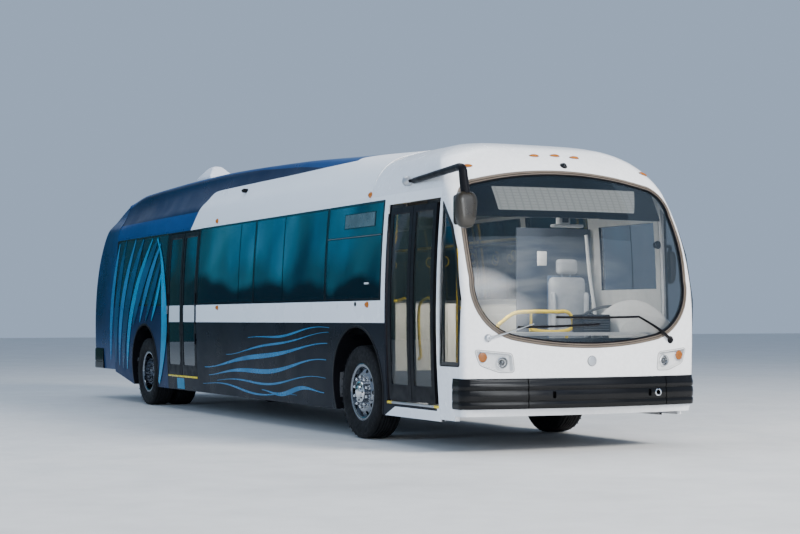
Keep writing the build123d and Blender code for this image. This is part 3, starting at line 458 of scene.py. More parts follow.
def livery(name):
    """Side paint: white stripe and front, charcoal below, deep blue tail, lining within."""
    s = Shader(name)
    rise = s.minus(s.z, BELT_Z)
    sag = s.times(rise, rise, 1 / (2 * BARREL_R))
    depth = s.minus(HALF_W, sag, s.math("ABSOLUTE", s.y, 0.0))
    tail = s.mix(s.drift(0.8, 3, (1, 1, 0.6)), NAVY, shade(DEEP_BLUE, 0.55))
    colour = s.mix(s.below(s.x, TAIL_ZONE_X), toned(s, CHARCOAL, 0.25, 1.1), tail)
    colour = s.mix(s.times(s.within(s.z, BAND_Z, BAND_TOP_Z), s.below(s.x, BAND_END_X)), colour, TRIM_BLACK)
    over = s.above(s.z, BAND_TOP_Z - 0.004)
    colour = s.mix(s.times(over, s.below(s.x, diagonal(s))), colour, DEEP_BLUE)
    for white in (
        s.times(over, s.above(s.x, diagonal(s))),
        s.times(s.within(s.z, *STRIPE_Z), s.within(s.x, *STRIPE_X)),
        s.times(s.within(s.x, *JAMB_X), s.above(s.z, STRIPE_Z[0])),
        s.above(s.x, FORE_X),
        s.times(s.above(s.x, s.line(s.z, SKIRT_FOOT[1], SKIRT_GAIN, SKIRT_FOOT[0])),
                s.below(s.z, SKIRT_TOP_Z)),
        s.times(s.above(s.x, HEADER_X), s.above(s.z, HEADER_Z)),
        s.times(s.above(s.y, 0), s.above(s.x, JAMB_X[0])),
    ):
        colour = s.mix(white, colour, WHITE)
    cut_edge = s.mix(s.above(depth, LINING_DEPTH), TRIM_BLACK, toned(s, LINING, 0.04, 2))
    s.put(base_color=s.mix(s.below(depth, PAINT_DEPTH), cut_edge, colour))
    worn(s, 0.3, 0.02, 0.8, 0.0, 30, 0.08)
    return s.mat


def ceiling(name):
    """Saloon lining with a dark cover over the front door."""
    s = Shader(name)
    cover = s.times(s.below(s.y, COVER_Y), s.above(s.x, COVER_X))
    s.put(base_color=s.mix(cover, toned(s, LINING, 0.04, 2), TRIM_BLACK))
    worn(s, 0.6, 0.0, 2, 0.04, 90)
    return s.mat


def crown_paint(name):
    """Roof paint: a white field on the flanks, closed by a slanting and a long sagging line, in blue;
    painted shade makes the crown's sides dark navy and painted light makes its top a lighter blue.
    """
    s = Shader(name)
    ahead_of = s.math("MAXIMUM", s.minus(s.x, CROWN_LINE_X), 0.0)
    line = s.plus(s.times(ahead_of, ahead_of, CROWN_LINE_SAG), CROWN_LINE_Z)
    below, ahead = s.minus(line, s.z), s.minus(s.x, diagonal(s))
    field = s.times(s.above(s.times(below, ahead), 0.0015), s.above(below, 0.0))
    field = s.math("MAXIMUM", field, s.above(s.x, CROWN_FORE_X))
    aside = s.math("ABSOLUTE", s.y, 0.0)
    # Painted shade: the crown's sides are dark navy and its top a lighter blue, as light falls on them
    flank = s.times(s.within(s.z, *CROWN_SHADE_Z), s.above(aside, CROWN_SHADE_Y))
    drift = s.drift(0.7, 3, (0.4, 1, 1))
    top = s.mix(drift, shade(DEEP_BLUE, 0.8), shade(DEEP_BLUE, 1.25))
    deep = s.mix(drift, NAVY, shade(DEEP_BLUE, 0.4))
    s.put(base_color=s.mix(field, s.mix(flank, top, deep), WHITE))
    worn(s, 0.34, 0.02, 0.5, 0.0, 30, 0.09)
    return s.mat


def tint_and_painted_reflection(name):
    """Side glass: teal, with a painted reflection that darkens it below a ragged line, filmed at the tail,
    striped on the doors and clear at the cab.
    """
    s = Shader(name)
    streak = s.noise(0.9, 4, (1.6, 1, 0.14))
    tone = s.mix(s.spread(streak, 0, 1, 0.38, 0.66), (0.002, 0.016, 0.026), (0.004, 0.085, 0.150))
    # Painted reflection: the glass is darker below a ragged line
    edge = s.plus(s.z, s.times(s.minus(s.noise(0.8, 2, (1, 1, 0.05)), 0.5), 1.3))
    tone = s.mix(s.spread(edge, 1, 0, 1.80, 2.06), tone, (0.002, 0.008, 0.013))
    film_tone = s.mix(s.spread(streak, 0, 1), NAVY, (0.003, 0.030, 0.055))
    tone = s.mix(s.below(s.x, TAIL_ZONE_X), tone, film_tone)
    stripe = s.times(s.within(s.z, *STRIPE_Z), s.below(s.x, CAB_GLASS_X))
    alpha = s.node("Mix", s.above(s.x, CAB_GLASS_X), data_type="FLOAT")
    s.feed(alpha.inputs[2], s.spread(s.rim(0.3), 0.86, 1.0, 0.05, 0.9))
    s.feed(alpha.inputs[3], s.spread(s.rim(0.3), 0.04, 0.7, 0.12, 0.95))
    s.put(base_color=s.mix(stripe, tone, WHITE), roughness=s.spread(s.noise(3, 2), 0.015, 0.035), ior=1.52,
          specular=0.55, coat_weight=0.55, coat_roughness=0.01,
          alpha=s.math("MAXIMUM", alpha.outputs[0], stripe))
    return s.mat


def tyre_rubber(name):
    """Matt rubber with a fine grain."""
    s = Shader(name)
    s.put(base_color=toned(s, (0.010, 0.010, 0.011), 0.3, 6), roughness=s.spread(s.noise(25, 4), 0.6, 0.82),
          specular=0.22)
    s.bump(s.noise(140, 3), 0.25)
    return s.mat


def grille(name):
    """Display panel: pale grey with faint rows, as an unlit sign behind its glass."""
    s = Shader(name)
    mesh = s.math("MAXIMUM", s.bands("Z", 11), s.bands("Y", 4))
    s.put(base_color=s.mix(s.spread(mesh, 0, 1, 0.75, 1.0), (0.33, 0.35, 0.345), (0.25, 0.27, 0.27)),
          roughness=s.spread(s.noise(14, 2), 0.5, 0.65))
    return s.mat


def make_materials():
    """Every finish by the short name that pieces ask for."""
    return {
        "white": finish("white_paint", WHITE, 0.22, coat=0.4, vary=0.02),
        "blue": finish("blue_paint", shade(DEEP_BLUE, 0.6), 0.3, coat=0.08, vary=0.35, scale=0.9, spec=0.18),
        "cyan": film("cyan_film", (0.008, 0.24, 0.42), 0.22, 1.6),
        "line": film("line_film", (0.020, 0.17, 0.34), 0.2, 1.6),
        "deep": film("deep_film", (0.004, 0.060, 0.13), 0.3, 1.2),
        "livery": livery("side_livery"),
        "crown": crown_paint("crown_paint"),
        "black": finish("trim_black", TRIM_BLACK, 0.4, vary=0.15, bump=0.04, grain=160, spec=0.15),
        "gloss_black": finish("gloss_black", (0.004, 0.005, 0.007), 0.14, coat=0.2, vary=0.1, spec=0.35),
        "seam": finish("joint_grey", (0.14, 0.145, 0.15), 0.5, vary=0.1, bump=0.03, grain=160),
        "gasket": finish("gasket_rubber", (0.125, 0.100, 0.078), 0.45, vary=0.15, bump=0.05, grain=120),
        "bumper": finish("bumper_rubber", (0.004, 0.004, 0.0045), 0.17, coat=0.12, vary=0.2, bump=0.006,
                         grain=160, spec=0.2),
        "lining": finish("saloon_lining", LINING, 0.6, vary=0.04, bump=0.04, grain=90),
        "ceiling": ceiling("saloon_ceiling"),
        "floor": finish("floor_covering", (0.10, 0.105, 0.115), 0.75, vary=0.15, bump=0.2, grain=180),
        "iron": finish("axle_iron", (0.014, 0.014, 0.015), 0.6, metal=0.3, vary=0.3, bump=0.3, grain=60),
        # A near-black patch that paints the shade at the top of the wheel arches
        "hollow": finish("painted_arch_shade", (0.002, 0.002, 0.002), 0.95, vary=0.1, spec=0.02),
        "battery": finish("battery_case", (0.04, 0.042, 0.045), 0.55, vary=0.2, bump=0.1, grain=80),
        "cream": finish("cream_panel", (0.78, 0.77, 0.68), 0.5, vary=0.05, bump=0.05, grain=200),
        "dash_dark": finish("dash_dark", (0.035, 0.036, 0.038), 0.5, vary=0.12, bump=0.15, grain=350),
        "grey": finish("partition_plastic", (0.045, 0.055, 0.072), 0.4, vary=0.15, bump=0.05, grain=200),
        "pale": finish("pale_plastic", (0.66, 0.67, 0.66), 0.45, vary=0.05, bump=0.05, grain=200),
        "seat_shell": finish("seat_shell", (0.06, 0.10, 0.17), 0.4, vary=0.1, bump=0.08, grain=200),
        "yellow": finish("rail_yellow", (0.84, 0.60, 0.004), 0.28, coat=0.4, vary=0.06, bump=0.03,
                         grain=120),
        "alloy": finish("wheel_alloy", (0.30, 0.32, 0.35), 0.12, metal=1.0, vary=0.05, bump=0.02, grain=90),
        "chrome": finish("bright_chrome", (0.88, 0.89, 0.90), 0.06, metal=1.0, vary=0.03),
        "tyre": tyre_rubber("tyre_rubber"),
        "shell": finish("mirror_shell", (0.020, 0.017, 0.012), 0.3, coat=0.3, vary=0.12),
        "unit": finish("unit_white", (0.74, 0.75, 0.80), 0.35, vary=0.03, bump=0.03, grain=90),
        "cloth": finish("seat_cloth", (0.33, 0.35, 0.37), 0.9, vary=0.12, bump=0.35, grain=420),
        "moquette": finish("bench_moquette", (0.05, 0.09, 0.16), 0.92, vary=0.2, scale=14, bump=0.4,
                           grain=380),
        "reflector": finish("lamp_bowl", (0.82, 0.83, 0.84), 0.22, coat=0.5, vary=0.04, bump=0.02, grain=60),
        "satin": finish("satin_metal", (0.55, 0.57, 0.60), 0.38, metal=0.8, vary=0.05, bump=0.02, grain=90),
        "mirror": finish("mirror_face", (0.70, 0.74, 0.78), 0.03, metal=1.0, vary=0.02),
        "bulb": finish("projector_glass", (0.10, 0.11, 0.12), 0.05, metal=0.6, coat=1.0, vary=0.1, scale=20),
        "sign": grille("sign_panel"),
        "sign_dim": finish("side_sign", (0.05, 0.075, 0.085), 0.3, coat=0.5, vary=0.3, scale=6),
        # The lenses' glow is painted light that lifts their colour; the lamps are not lit
        "amber": lamp_lens("amber_lens", (0.26, 0.075, 0.0), 0.5),
        "lamp_red": lamp_lens("red_lens", (0.50, 0.012, 0.010), 0.12),
        "lamp_white": lamp_lens("white_lens", (0.75, 0.76, 0.78), 0.1),
        "lens": glass("lamp_cover", (0.30, 0.31, 0.32), 0.02, 0.5),
        "clear": glass("clear_glass", (0.022, 0.034, 0.046), 0.36, 0.92, ior=1.7),
        "door_glass": glass("door_glass", (0.010, 0.018, 0.020), 0.16, 0.8),
        "tint": tint_and_painted_reflection("tinted_glass"),
    }


# Finishes of the solids that stay in sight, by name and else by the end of their name
NODE_FINISH = {
    "chassis_floor": "floor", "curb_side_wall": "livery", "street_side_wall": "livery",
    "roof_panel": "ceiling", "curb_windows": "tint", "street_windows": "tint",
    "destination_sign": "gloss_black", "dashboard": "dash_dark", "driver_partition": "grey",
    "passenger_seats": "seat_shell", "grab_rails": "yellow", "drive_blocks": "battery",
    "axles": "iron", "curb_knuckle": "iron", "street_knuckle": "iron",
}
ENDINGS = {
    "_tyre": "tyre", "_tyres": "tyre", "_rim": "alloy", "_rims": "alloy",
    "_glass": "door_glass", "_leaf": "black", "_arm": "iron",
}


def dress_nodes():
    """Gives every solid that stays in sight its finish."""
    for name, obj in NODES.items():
        kind = NODE_FINISH.get(name, "black")
        for ending, value in ENDINGS.items():
            if name.endswith(ending):
                kind = value
        if name.startswith("rear_door"):
            kind = "black" if name.endswith("_leaf") else "tint"
        obj.data.materials.clear()
        obj.data.materials.append(MATERIALS[kind])


MERGE_GAP = 2e-5
CUT_SHARP = 30


class Form:
    """One piece of the scene, gathered from shapes that each keep a material."""

    def __init__(self, name, body="coach_body", sharp=35, replaces=(), slot=None):
        self.name, self.body, self.sharp, self.replaces, self.slot_name = name, body, sharp, replaces, slot
        self.verts, self.faces, self.kinds, self.slots = [], [], [], []

    def add(self, verts, faces, mat):
        """Points and faces in one finish."""
        base = len(self.verts)
        self.verts += [tuple(v) for v in verts]
        if mat not in self.slots:
            self.slots.append(mat)
        self.faces += [[base + i for i in face] for face in faces]
        self.kinds += [self.slots.index(mat)] * len(faces)

    def caps(self, mat, *rows):
        """One face across each closed row of points."""
        for row in rows:
            self.add(row, [list(range(len(row)))], mat)

    def take(self, bm, mat):
        """Adds the faces of a bmesh and frees it."""
        bm.verts.index_update()
        self.add([v.co.copy() for v in bm.verts], [[v.index for v in f.verts] for f in bm.faces], mat)
        bm.free()

    def grid(self, rows, mat, ring=False, loop=False):
        """Faces between rows of points: ring joins each row's ends, loop joins the last row to the first."""
        n = len(rows[0])
        faces = []
        for i in range(len(rows) if loop else len(rows) - 1):
            j = (i + 1) % len(rows)
            for k in range(n if ring else n - 1):
                m = (k + 1) % n
                faces.append([i * n + k, j * n + k, j * n + m, i * n + m])
        self.add([p for row in rows for p in row], faces, mat)

    def lathe(self, profile, centre, mat, steps=48, axis=(0, 1, 0)):
        """Turns (offset along the axis, radius) points about an axis."""
        turn = Vector((0, 1, 0)).rotation_difference(Vector(axis)).to_matrix()
        self.grid([[Vector(centre) + turn @ Vector((x, off, z)) for x, z in circle(0, 0, r, steps)]
                   for off, r in profile], mat, ring=True)

    def tube(self, points, radius, mat, sides=10, loop=False, flat=1.0):
        """A round bar along a path of points, with closed ends."""
        path = [Vector(p) for p in points]
        n = len(path)
        rows = []
        normal = None
        for i, p in enumerate(path):
            ahead = path[(i + 1) % n] if loop or i < n - 1 else p
            behind = path[i - 1] if loop or i else p
            t = (ahead - behind).normalized()
            if normal is None:
                normal = t.orthogonal()
                if abs(t.z) < 0.9:
                    normal = Vector((0, 0, 1)) - t * t.z
            normal = (normal - t * normal.dot(t)).normalized()
            side = t.cross(normal)
            r = radius(i / (n - 1)) if callable(radius) else radius
            rows.append([p + normal * (r * flat * cos(a)) + side * (r * sin(a)) for a in turns(sides)])
        self.grid(rows, mat, ring=True, loop=loop)
        if not loop:
            self.caps(mat, rows[0], rows[-1])

    def box(self, lo, hi, mat, r=0.008, turn=None):
        """A block between two corners with rounded edges, turned about its middle if asked."""
        bm = bmesh.new()
        size = [max(1e-4, abs(b - a)) for a, b in zip(lo, hi)]
        mid = [(a + b) / 2 for a, b in zip(lo, hi)]
        bmesh.ops.create_cube(bm, size=1)
        bmesh.ops.scale(bm, vec=size, verts=bm.verts)
        bmesh.ops.translate(bm, vec=mid, verts=bm.verts)
        r = min(r, min(size) * 0.45)
        bmesh.ops.bevel(bm, geom=bm.edges[:], offset=r, segments=2, profile=0.5, affect="EDGES")
        if turn is not None:
            bmesh.ops.rotate(bm, cent=mid, matrix=turn, verts=bm.verts)
        self.take(bm, mat)

    def side_box(self, side, lo, hi, mat, r=0.008):
        """A block given on the street side, or its mirror image on the curb side."""
        low, high = sorted((side * lo[1], side * hi[1]))
        self.box((lo[0], low, lo[2]), (hi[0], high, hi[2]), mat, r)

    def plate(self, outline, place, mat, depth=None, cuts=()):
        """A filled outline, cut along lines and laid on a skin by place, with a rim if it has depth."""
        bm = bmesh.new()
        bm.faces.new([bm.verts.new((a, b, 0)) for a, b in outline])
        for point, normal in cuts:
            geom = bm.verts[:] + bm.edges[:] + bm.faces[:]
            bmesh.ops.bisect_plane(bm, geom=geom, plane_co=(*point, 0), plane_no=(*normal, 0))
        bmesh.ops.triangulate(bm, faces=bm.faces[:])
        for v in bm.verts:
            v.co = place(v.co.x, v.co.y, 0)
        self.take(bm, mat)
        if depth:
            self.grid([[place(a, b, d) for a, b in outline] for d in (0, -depth)], mat, ring=True)

    def side(self, outline, side, mat, proud=0.0015):
        """A patch on the barrel side from (x, z) points, cut into strips so that it follows the curve."""
        zs = [z for _, z in outline]
        cuts = [((0, z), (0, 1)) for z in steps(min(zs), max(zs), 0.12)[1:-1]]
        self.plate(outline, lambda x, z, d: (x, side * side_y(z, proud + d), z), mat, None, cuts)

    def border(self, outline, width, side, mat, proud=0.0015):
        """An even border on the barrel side, inside a rectangle of (x, z) points."""
        (x0, z0), (x1, z1) = outline[0], outline[2]
        low, high = z0 + width, z1 - width
        for bar in (rect(x0, x1, z0, low), rect(x0, x1, high, z1), rect(x0, x0 + width, low, high),
                    rect(x1 - width, x1, low, high)):
            self.side(bar, side, mat, proud)

    def ribbon(self, points, width, side, mat, proud=0.002):
        """A painted line of changing width along (x, z) points on the barrel side."""
        rows = []
        n = len(points)
        for i, (x, z) in enumerate(points):
            (xa, za), (xb, zb) = points[max(0, i - 1)], points[min(n - 1, i + 1)]
            span = sqrt((xb - xa) ** 2 + (zb - za) ** 2) or 1
            nx, nz = -(zb - za) / span, (xb - xa) / span
            w = width(i / (n - 1)) / 2
            rows.append([(x + nx * w * k, side * side_y(z + nz * w * k, proud), z + nz * w * k)
                         for k in (-1, 0, 1)])
        self.grid(rows, mat)

    def done(self):
        """Makes the piece, hung on its body."""
        mesh = bpy.data.meshes.new(self.name)
        mesh.from_pydata(self.verts, [], self.faces)
        for kind in self.slots:
            mesh.materials.append(MATERIALS[kind])
        mesh.polygons.foreach_set("material_index", self.kinds)
        finish_mesh(mesh, self.sharp)
        obj = add_object(self.name, mesh)
        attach(obj, self.body)
        if self.replaces:
            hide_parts(*self.replaces)
        return obj


def finish_mesh(mesh, sharp):
    """Merges doubles, turns faces outward and smooths all but the sharp edges."""
    bm = bmesh.new()
    bm.from_mesh(mesh)
    bmesh.ops.remove_doubles(bm, verts=bm.verts, dist=MERGE_GAP)
    bmesh.ops.dissolve_degenerate(bm, dist=1e-6, edges=bm.edges)
    bmesh.ops.recalc_face_normals(bm, faces=bm.faces)
    for face in bm.faces:
        face.smooth = True
    for edge in bm.edges:
        edge.smooth = len(edge.link_faces) == 2 and edge.calc_face_angle(0) < radians(sharp)
    bm.to_mesh(mesh)
    bm.free()
    mesh.update()


# Points and outlines
def steps(a, b, step):
    """Even stops from a to b, no further apart than step."""
    n = max(1, round(abs(b - a) / step + 0.499))
    return [a + (b - a) * i / n for i in range(n + 1)]


def turns(n, start=0.0):
    """Even angles round a circle."""
    return [2 * pi * (k + start) / n for k in range(n)]


def circle(a, b, r, n=32):
    """A circle as a closed outline."""
    return [(a + r * cos(t), b + r * sin(t)) for t in turns(n)]


def rect(a0, a1, b0, b1):
    """A rectangle as a closed outline."""
    return [(a0, b0), (a1, b0), (a1, b1), (a0, b1)]


def around(a, b, half_a, half_b):
    """A rectangle round its middle."""
    return rect(a - half_a, a + half_a, b - half_b, b + half_b)


def arc(a, m, b, n):
    """Points of the arc from a through m to b, without the last."""
    (ax, ay), (mx, my), (bx, by) = a, m, b
    d = 2 * (ax * (my - by) + mx * (by - ay) + bx * (ay - my))
    a2, m2, b2 = ax * ax + ay * ay, mx * mx + my * my, bx * bx + by * by
    cx = (a2 * (my - by) + m2 * (by - ay) + b2 * (ay - my)) / d
    cy = (a2 * (bx - mx) + m2 * (ax - bx) + b2 * (mx - ax)) / d
    r = sqrt((ax - cx) ** 2 + (ay - cy) ** 2)
    t0, tm, t1 = (atan2(y - cy, x - cx) for x, y in (a, m, b))
    sweep = (t1 - t0) % (2 * pi)
    if (tm - t0) % (2 * pi) > sweep:
        sweep -= 2 * pi
    return [(cx + r * cos(t0 + sweep * i / n), cy + r * sin(t0 + sweep * i / n)) for i in range(n)]


def rounded(points, radius, n=6):
    """A closed outline with every corner rounded."""
    out = []
    count = len(points)
    for i in range(count):
        p = Vector(points[i])
        a, b = Vector(points[i - 1]) - p, Vector(points[(i + 1) % count]) - p
        r = min(radius, a.length * 0.45, b.length * 0.45)
        p0, p1 = p + a.normalized() * r, p + b.normalized() * r
        out += [tuple((1 - t) ** 2 * p0 + 2 * t * (1 - t) * p + t * t * p1) for t in
                (k / n for k in range(n + 1))]
    return out


def inset(outline, by):
    """A closed outline moved inwards."""
    n = len(outline)
    area = sum(outline[i - 1][0] * outline[i][1] - outline[i][0] * outline[i - 1][1] for i in range(n))
    way = 1 if area > 0 else -1
    out = []
    for i, (x, y) in enumerate(outline):
        (xa, ya), (xb, yb) = outline[i - 1], outline[(i + 1) % n]
        span = sqrt((xb - xa) ** 2 + (yb - ya) ** 2) or 1
        out.append((x - way * (yb - ya) / span * by, y + way * (xb - xa) / span * by))
    return out


def spline(points, n=8):
    """A smooth curve through points of any size."""
    pts = [Vector(p) for p in points]
    out = []
    for i in range(len(pts) - 1):
        p0, p1, p2, p3 = pts[max(0, i - 1)], pts[i], pts[i + 1], pts[min(len(pts) - 1, i + 2)]
        for k in range(n):
            t = k / n
            out.append(tuple(0.5 * (2 * p1 + (p2 - p0) * t + (2 * p0 - 5 * p1 + 4 * p2 - p3) * t * t
                                    + (3 * p1 - p0 - 3 * p2 + p3) * t**3)))
    return out + [tuple(pts[-1])]


# Shells of the nose and tail, cut by prisms
def shell(form, end, back, mat):
    """A closed skin over one end of the bus, open at the back and below."""
    zs = levels(end.rows, 5)
    top = zs[-1]
    outer = [end.contour(z, back) for z in zs]
    inner = [end.contour(min(z, top - SHELL_T - 0.0004 * (len(zs) - i)), back, SHELL_T)
             for i, z in enumerate(zs)]
    form.grid(outer, mat)
    form.grid(inner, mat)
    form.grid([outer[0], inner[0]], mat)
    for side in (0, -1):
        form.grid([[row[side] for row in outer], [row[side] for row in inner]], mat)
    n = len(outer[0])
    half = n // 2
    for row in (outer[-1], inner[-1]):
        form.grid([row[: half + 1], [row[n - 1 - k] for k in range(half + 1)]], mat)
    form.grid([[outer[-1][0], outer[-1][-1]], [inner[-1][0], inner[-1][-1]]], mat)


def prism(outline, place):
    """A closed block from an outline, drawn at two depths by place(a, b, depth)."""
    mesh = bpy.data.meshes.new("cutter")
    n = len(outline)
    verts = [place(a, b, d) for d in (0, 1) for a, b in outline]
    faces = [list(range(n))[::-1], list(range(n, 2 * n))]
    faces += [[i, (i + 1) % n, n + (i + 1) % n, n + i] for i in range(n)]
    mesh.from_pydata(verts, [], faces)
    bm = bmesh.new()
    bm.from_mesh(mesh)
    bmesh.ops.recalc_face_normals(bm, faces=bm.faces)
    bm.to_mesh(mesh)
    bm.free()
    return add_object("cutter", mesh)


def prism_x(outline, x0, x1):
    """A block between two places along the bus, from an outline of its end view."""
    return prism(outline, lambda y, z, d: (x0 + (x1 - x0) * d, y, z))


def cut(obj, cutters, operation="DIFFERENCE"):
    """Cuts an object with prisms and removes them."""
    for cutter in cutters:
        mod = obj.modifiers.new("cut", "BOOLEAN")
        mod.object, mod.operation, mod.solver = cutter, operation, "EXACT"
    graph = bpy.context.evaluated_depsgraph_get()
    obj.data = bpy.data.meshes.new_from_object(obj.evaluated_get(graph))
    obj.modifiers.clear()
    for cutter in cutters:
        bpy.data.objects.remove(cutter)
    finish_mesh(obj.data, CUT_SHARP)


# Sizes of the body shells and glazing, matching the solids they stand for
BEYOND = FACE_X + 0.1
SHELL_T = 0.045
BUMPER_PLACE = 2.16
BUMPER_LOW, BUMPER_TOP = 0.412, 0.670
BUMPER_PROUD, BUMPER_DEPTH, BUMPER_CORNER = 0.025, 0.06, 0.10
BUMPER_STEPS = (12, 10, 6)
SOCKET_R = 0.021
VALANCE_Z = 0.345
VALANCE_LEAN = 0.75
TAIL_LOW = 0.47
REAR_BUMPER_PLACE = -9.70
REAR_BUMPER_TOP = 0.79
SCREEN_ARCS = [
    # middle y, middle z, end y, end z of each arc, from the bottom centre round to the top centre
    (0.385, 0.985, 0.750, 1.035),
    (1.080, 1.215, 1.205, 1.620),
    (1.217, 1.950, 1.190, 2.260),
    (1.135, 2.465, 0.950, 2.570),
    (0.485, 2.652, 0.000, 2.680),
]
SCREEN_LOW, SCREEN_MID = 0.968, 1.80
GASKET_W, GASKET_PROUD = 0.056, 0.008
GLASS_BACK = 0.010
HEADLAMP = [(1.172, 0.962), (1.122, 0.815), (0.935, 0.748), (0.785, 0.748), (0.805, 0.925)]
HEADLAMP_R = 0.04
AMBER, PROJECTOR = (1.088, 0.889), (0.896, 0.840)
TAIL_LAMP_Y, TAIL_LAMP_R = 1.03, 0.058
TAIL_LAMPS = {1.01: "lamp_white", 1.18: "amber", 1.35: "lamp_red"}
QUARTER = [(1.896, 0.800), (2.295, 0.800), (2.319, 1.411), (2.231, 1.871), (2.120, 2.120), (1.896, 2.365)]
HATCH_HALF, HATCH_LOW, HATCH_TOP = 0.82, 0.84, 1.70
HATCH_GAP = 0.008
ROOF_STEPS, ROOF_T = 14, 0.04
SECTIONS = [
    # roof: place, crease y, crease z, edge y, edge z, crown z, hollow of the side arc
    (-9.09, 1.208, 2.625, 1.030, 3.020, 3.090, 0.025),
    (-8.10, 1.212, 2.670, 1.050, 3.110, 3.180, 0.040),
    (-5.20, 1.214, 2.725, 1.050, 3.150, 3.215, 0.040),
    (-2.30, 1.212, 2.725, 1.030, 3.085, 3.150, 0.025),
    (0.26, 1.206, 2.600, 0.860, 2.935, 3.060, -0.062),
]


def screen_outline(by=0.0):
    """The windscreen's outline seen from ahead, moved inwards if asked."""
    half = []
    start = (0, SCREEN_LOW)
    for my, mz, ey, ez in SCREEN_ARCS:
        half += arc(start, (my, mz), (ey, ez), 12)
        start = (ey, ez)
    half.append(start)
    outline = half + [(-y, z) for y, z in reversed(half[1:-1])]
    return inset(outline, by) if by else outline


def on(end, proud=0.0):
    """Places points of the end view on an end's skin."""
    return lambda y, z, d=0.0: (end.x(y, z, proud + d), y, z)


def lamp_outline(side):
    """A headlamp's outline seen from ahead."""
    return rounded([(side * y, z) for y, z in HEADLAMP], HEADLAMP_R)


def quarter_outline():
    """The outline of a quarter window seen from its side."""
    return rounded([(at(p), z) for p, z in QUARTER], 0.03, 4)


def across(places):
    """Cuts of an end view at places across the bus."""
    return [((y, 0), (1, 0)) for y in places]


def add_front_shell():
    """White mask with its dome, cut for the screen, lamps, bumper and quarter windows."""
    form = Form("front_shell", sharp=32, replaces=["front_mask"], slot="body_white")
    shell(form, NOSE, at(DOME_BACK), "white")
    obj = form.done()
    cutters = [
        prism_x(rect(-1.4, 1.4, 0.2, EAVE_Z), at(DOME_BACK) - 0.1, at(MASK_BACK)),
        prism_x(rect(-1.4, 1.4, BUMPER_LOW, BUMPER_TOP), at(BUMPER_PLACE), BEYOND),
        prism_x(rect(-1.4, 1.4, 0.2, VALANCE_Z), at(BUMPER_PLACE), BEYOND),
        prism_x(screen_outline(), at(1.2), BEYOND),
    ]
    for side in SIDES:
        cutters.append(prism(quarter_outline(), lambda x, z, d: (x, side * (0.9 + 0.5 * d), z)))
        cutters.append(prism_x(lamp_outline(side), at(1.7), BEYOND))
    cut(obj, cutters)
    # The valance under the bumper leans back
    brink, root = BUMPER_LOW + 0.01, at(2.2)
    for v in obj.data.vertices:
        if v.co.z < brink and v.co.x > root:
            v.co.x -= VALANCE_LEAN * (brink - v.co.z) * (v.co.x - root) / (FACE_X - root)


def add_rear_shells():
    """Deep blue tail with its lamps' holes, and the hatch that hangs in it."""

    def tail_prism(outline):
        """A block that reaches through the tail."""
        return prism_x(outline, -BEYOND, at(REAR_BUMPER_PLACE))

    form = Form("rear_shell", sharp=32, replaces=["rear_cap"], slot="body_blue")
    shell(form, TAIL, -at(CAP_FRONT), "blue")
    obj = form.done()
    half, low, high = HATCH_HALF + HATCH_GAP, HATCH_LOW - HATCH_GAP, HATCH_TOP + HATCH_GAP
    cutters = [
        tail_prism(rect(-1.4, 1.4, 0.2, REAR_BUMPER_TOP)),
        tail_prism(rounded(rect(-half, half, low, high), 0.03, 4)),
    ]
    for side in SIDES:
        cutters += [tail_prism(circle(side * TAIL_LAMP_Y, z, TAIL_LAMP_R)) for z in TAIL_LAMPS]
    cut(obj, cutters)

    form = Form("hatch_skin", "rear_hatch", sharp=32, replaces=["rear_hatch"], slot="body_blue")
    shell(form, TAIL, -at(CAP_FRONT), "blue")
    obj = form.done()
    panel = rounded(rect(-HATCH_HALF, HATCH_HALF, HATCH_LOW, HATCH_TOP), 0.025, 4)
    cut(obj, [tail_prism(panel)], "INTERSECT")

    form = Form("hatch_fittings", "rear_hatch")
    hinge_pin = [(-0.05, 0), (-0.05, 0.013), (0.05, 0.013), (0.05, 0)]
    for side in SIDES:
        x, y = TAIL.x(0, HATCH_TOP) + 0.02, side * 0.15
        form.lathe(hinge_pin, (x, y, HATCH_TOP + 0.002), "iron", 20)
        form.box((x, y - 0.045, HATCH_TOP - 0.06), (x + 0.04, y + 0.045, HATCH_TOP - 0.008), "iron", 0.006)
        latch = on(TAIL)(side * 0.6, HATCH_LOW + 0.09)
        form.lathe([(0, 0), (0.006, 0.0), (0.006, 0.022), (0.0, 0.03)], latch, "black", 24, (-1, 0, 0))
    for row in range(9):
        z = HATCH_LOW + 0.24 + row * 0.045
        strip = rounded(rect(-0.55, 0.55, z, z + 0.022), 0.01, 3)
        form.plate(strip, on(TAIL, 0.004), "black", 0.004, across(steps(-0.5, 0.5, 0.1)))
    form.done()


def roof_section(place):
    """Half a section of the roof from eave to middle, mirrored: flank, hollow side and crown."""
    cy, cz, ey, ez, top, hollow = (smooth(SECTIONS, c)(place) for c in range(1, 7))
    low = (side_y(EAVE_Z), EAVE_Z)
    span = sqrt((cy - ey) ** 2 + (cz - ez) ** 2)
    mid = ((cy + ey) / 2 - hollow * (ez - cz) / span, (cz + ez) / 2 - hollow * (cy - ey) / span)
    flank = arc((cy, cz), mid, (ey, ez), ROOF_STEPS)
    crown = [(y, top - (top - ez) * (y / ey) ** 2)
             for y in (ey * (1 - k / ROOF_STEPS) for k in range(ROOF_STEPS + 1))]
    path = [low, ((low[0] + cy) / 2, (low[1] + cz) / 2)] + flank + crown
    soft = list(path)
    # Both ends of the flank are softened
    for i in (2, 2 + ROOF_STEPS):
        (ya, za), (y, z), (yb, zb) = path[i - 1:i + 2]
        soft[i] = (y * 2 + ya + yb) / 4, (z * 2 + za + zb) / 4
    return soft + [(-y, z) for y, z in reversed(soft[:-1])]


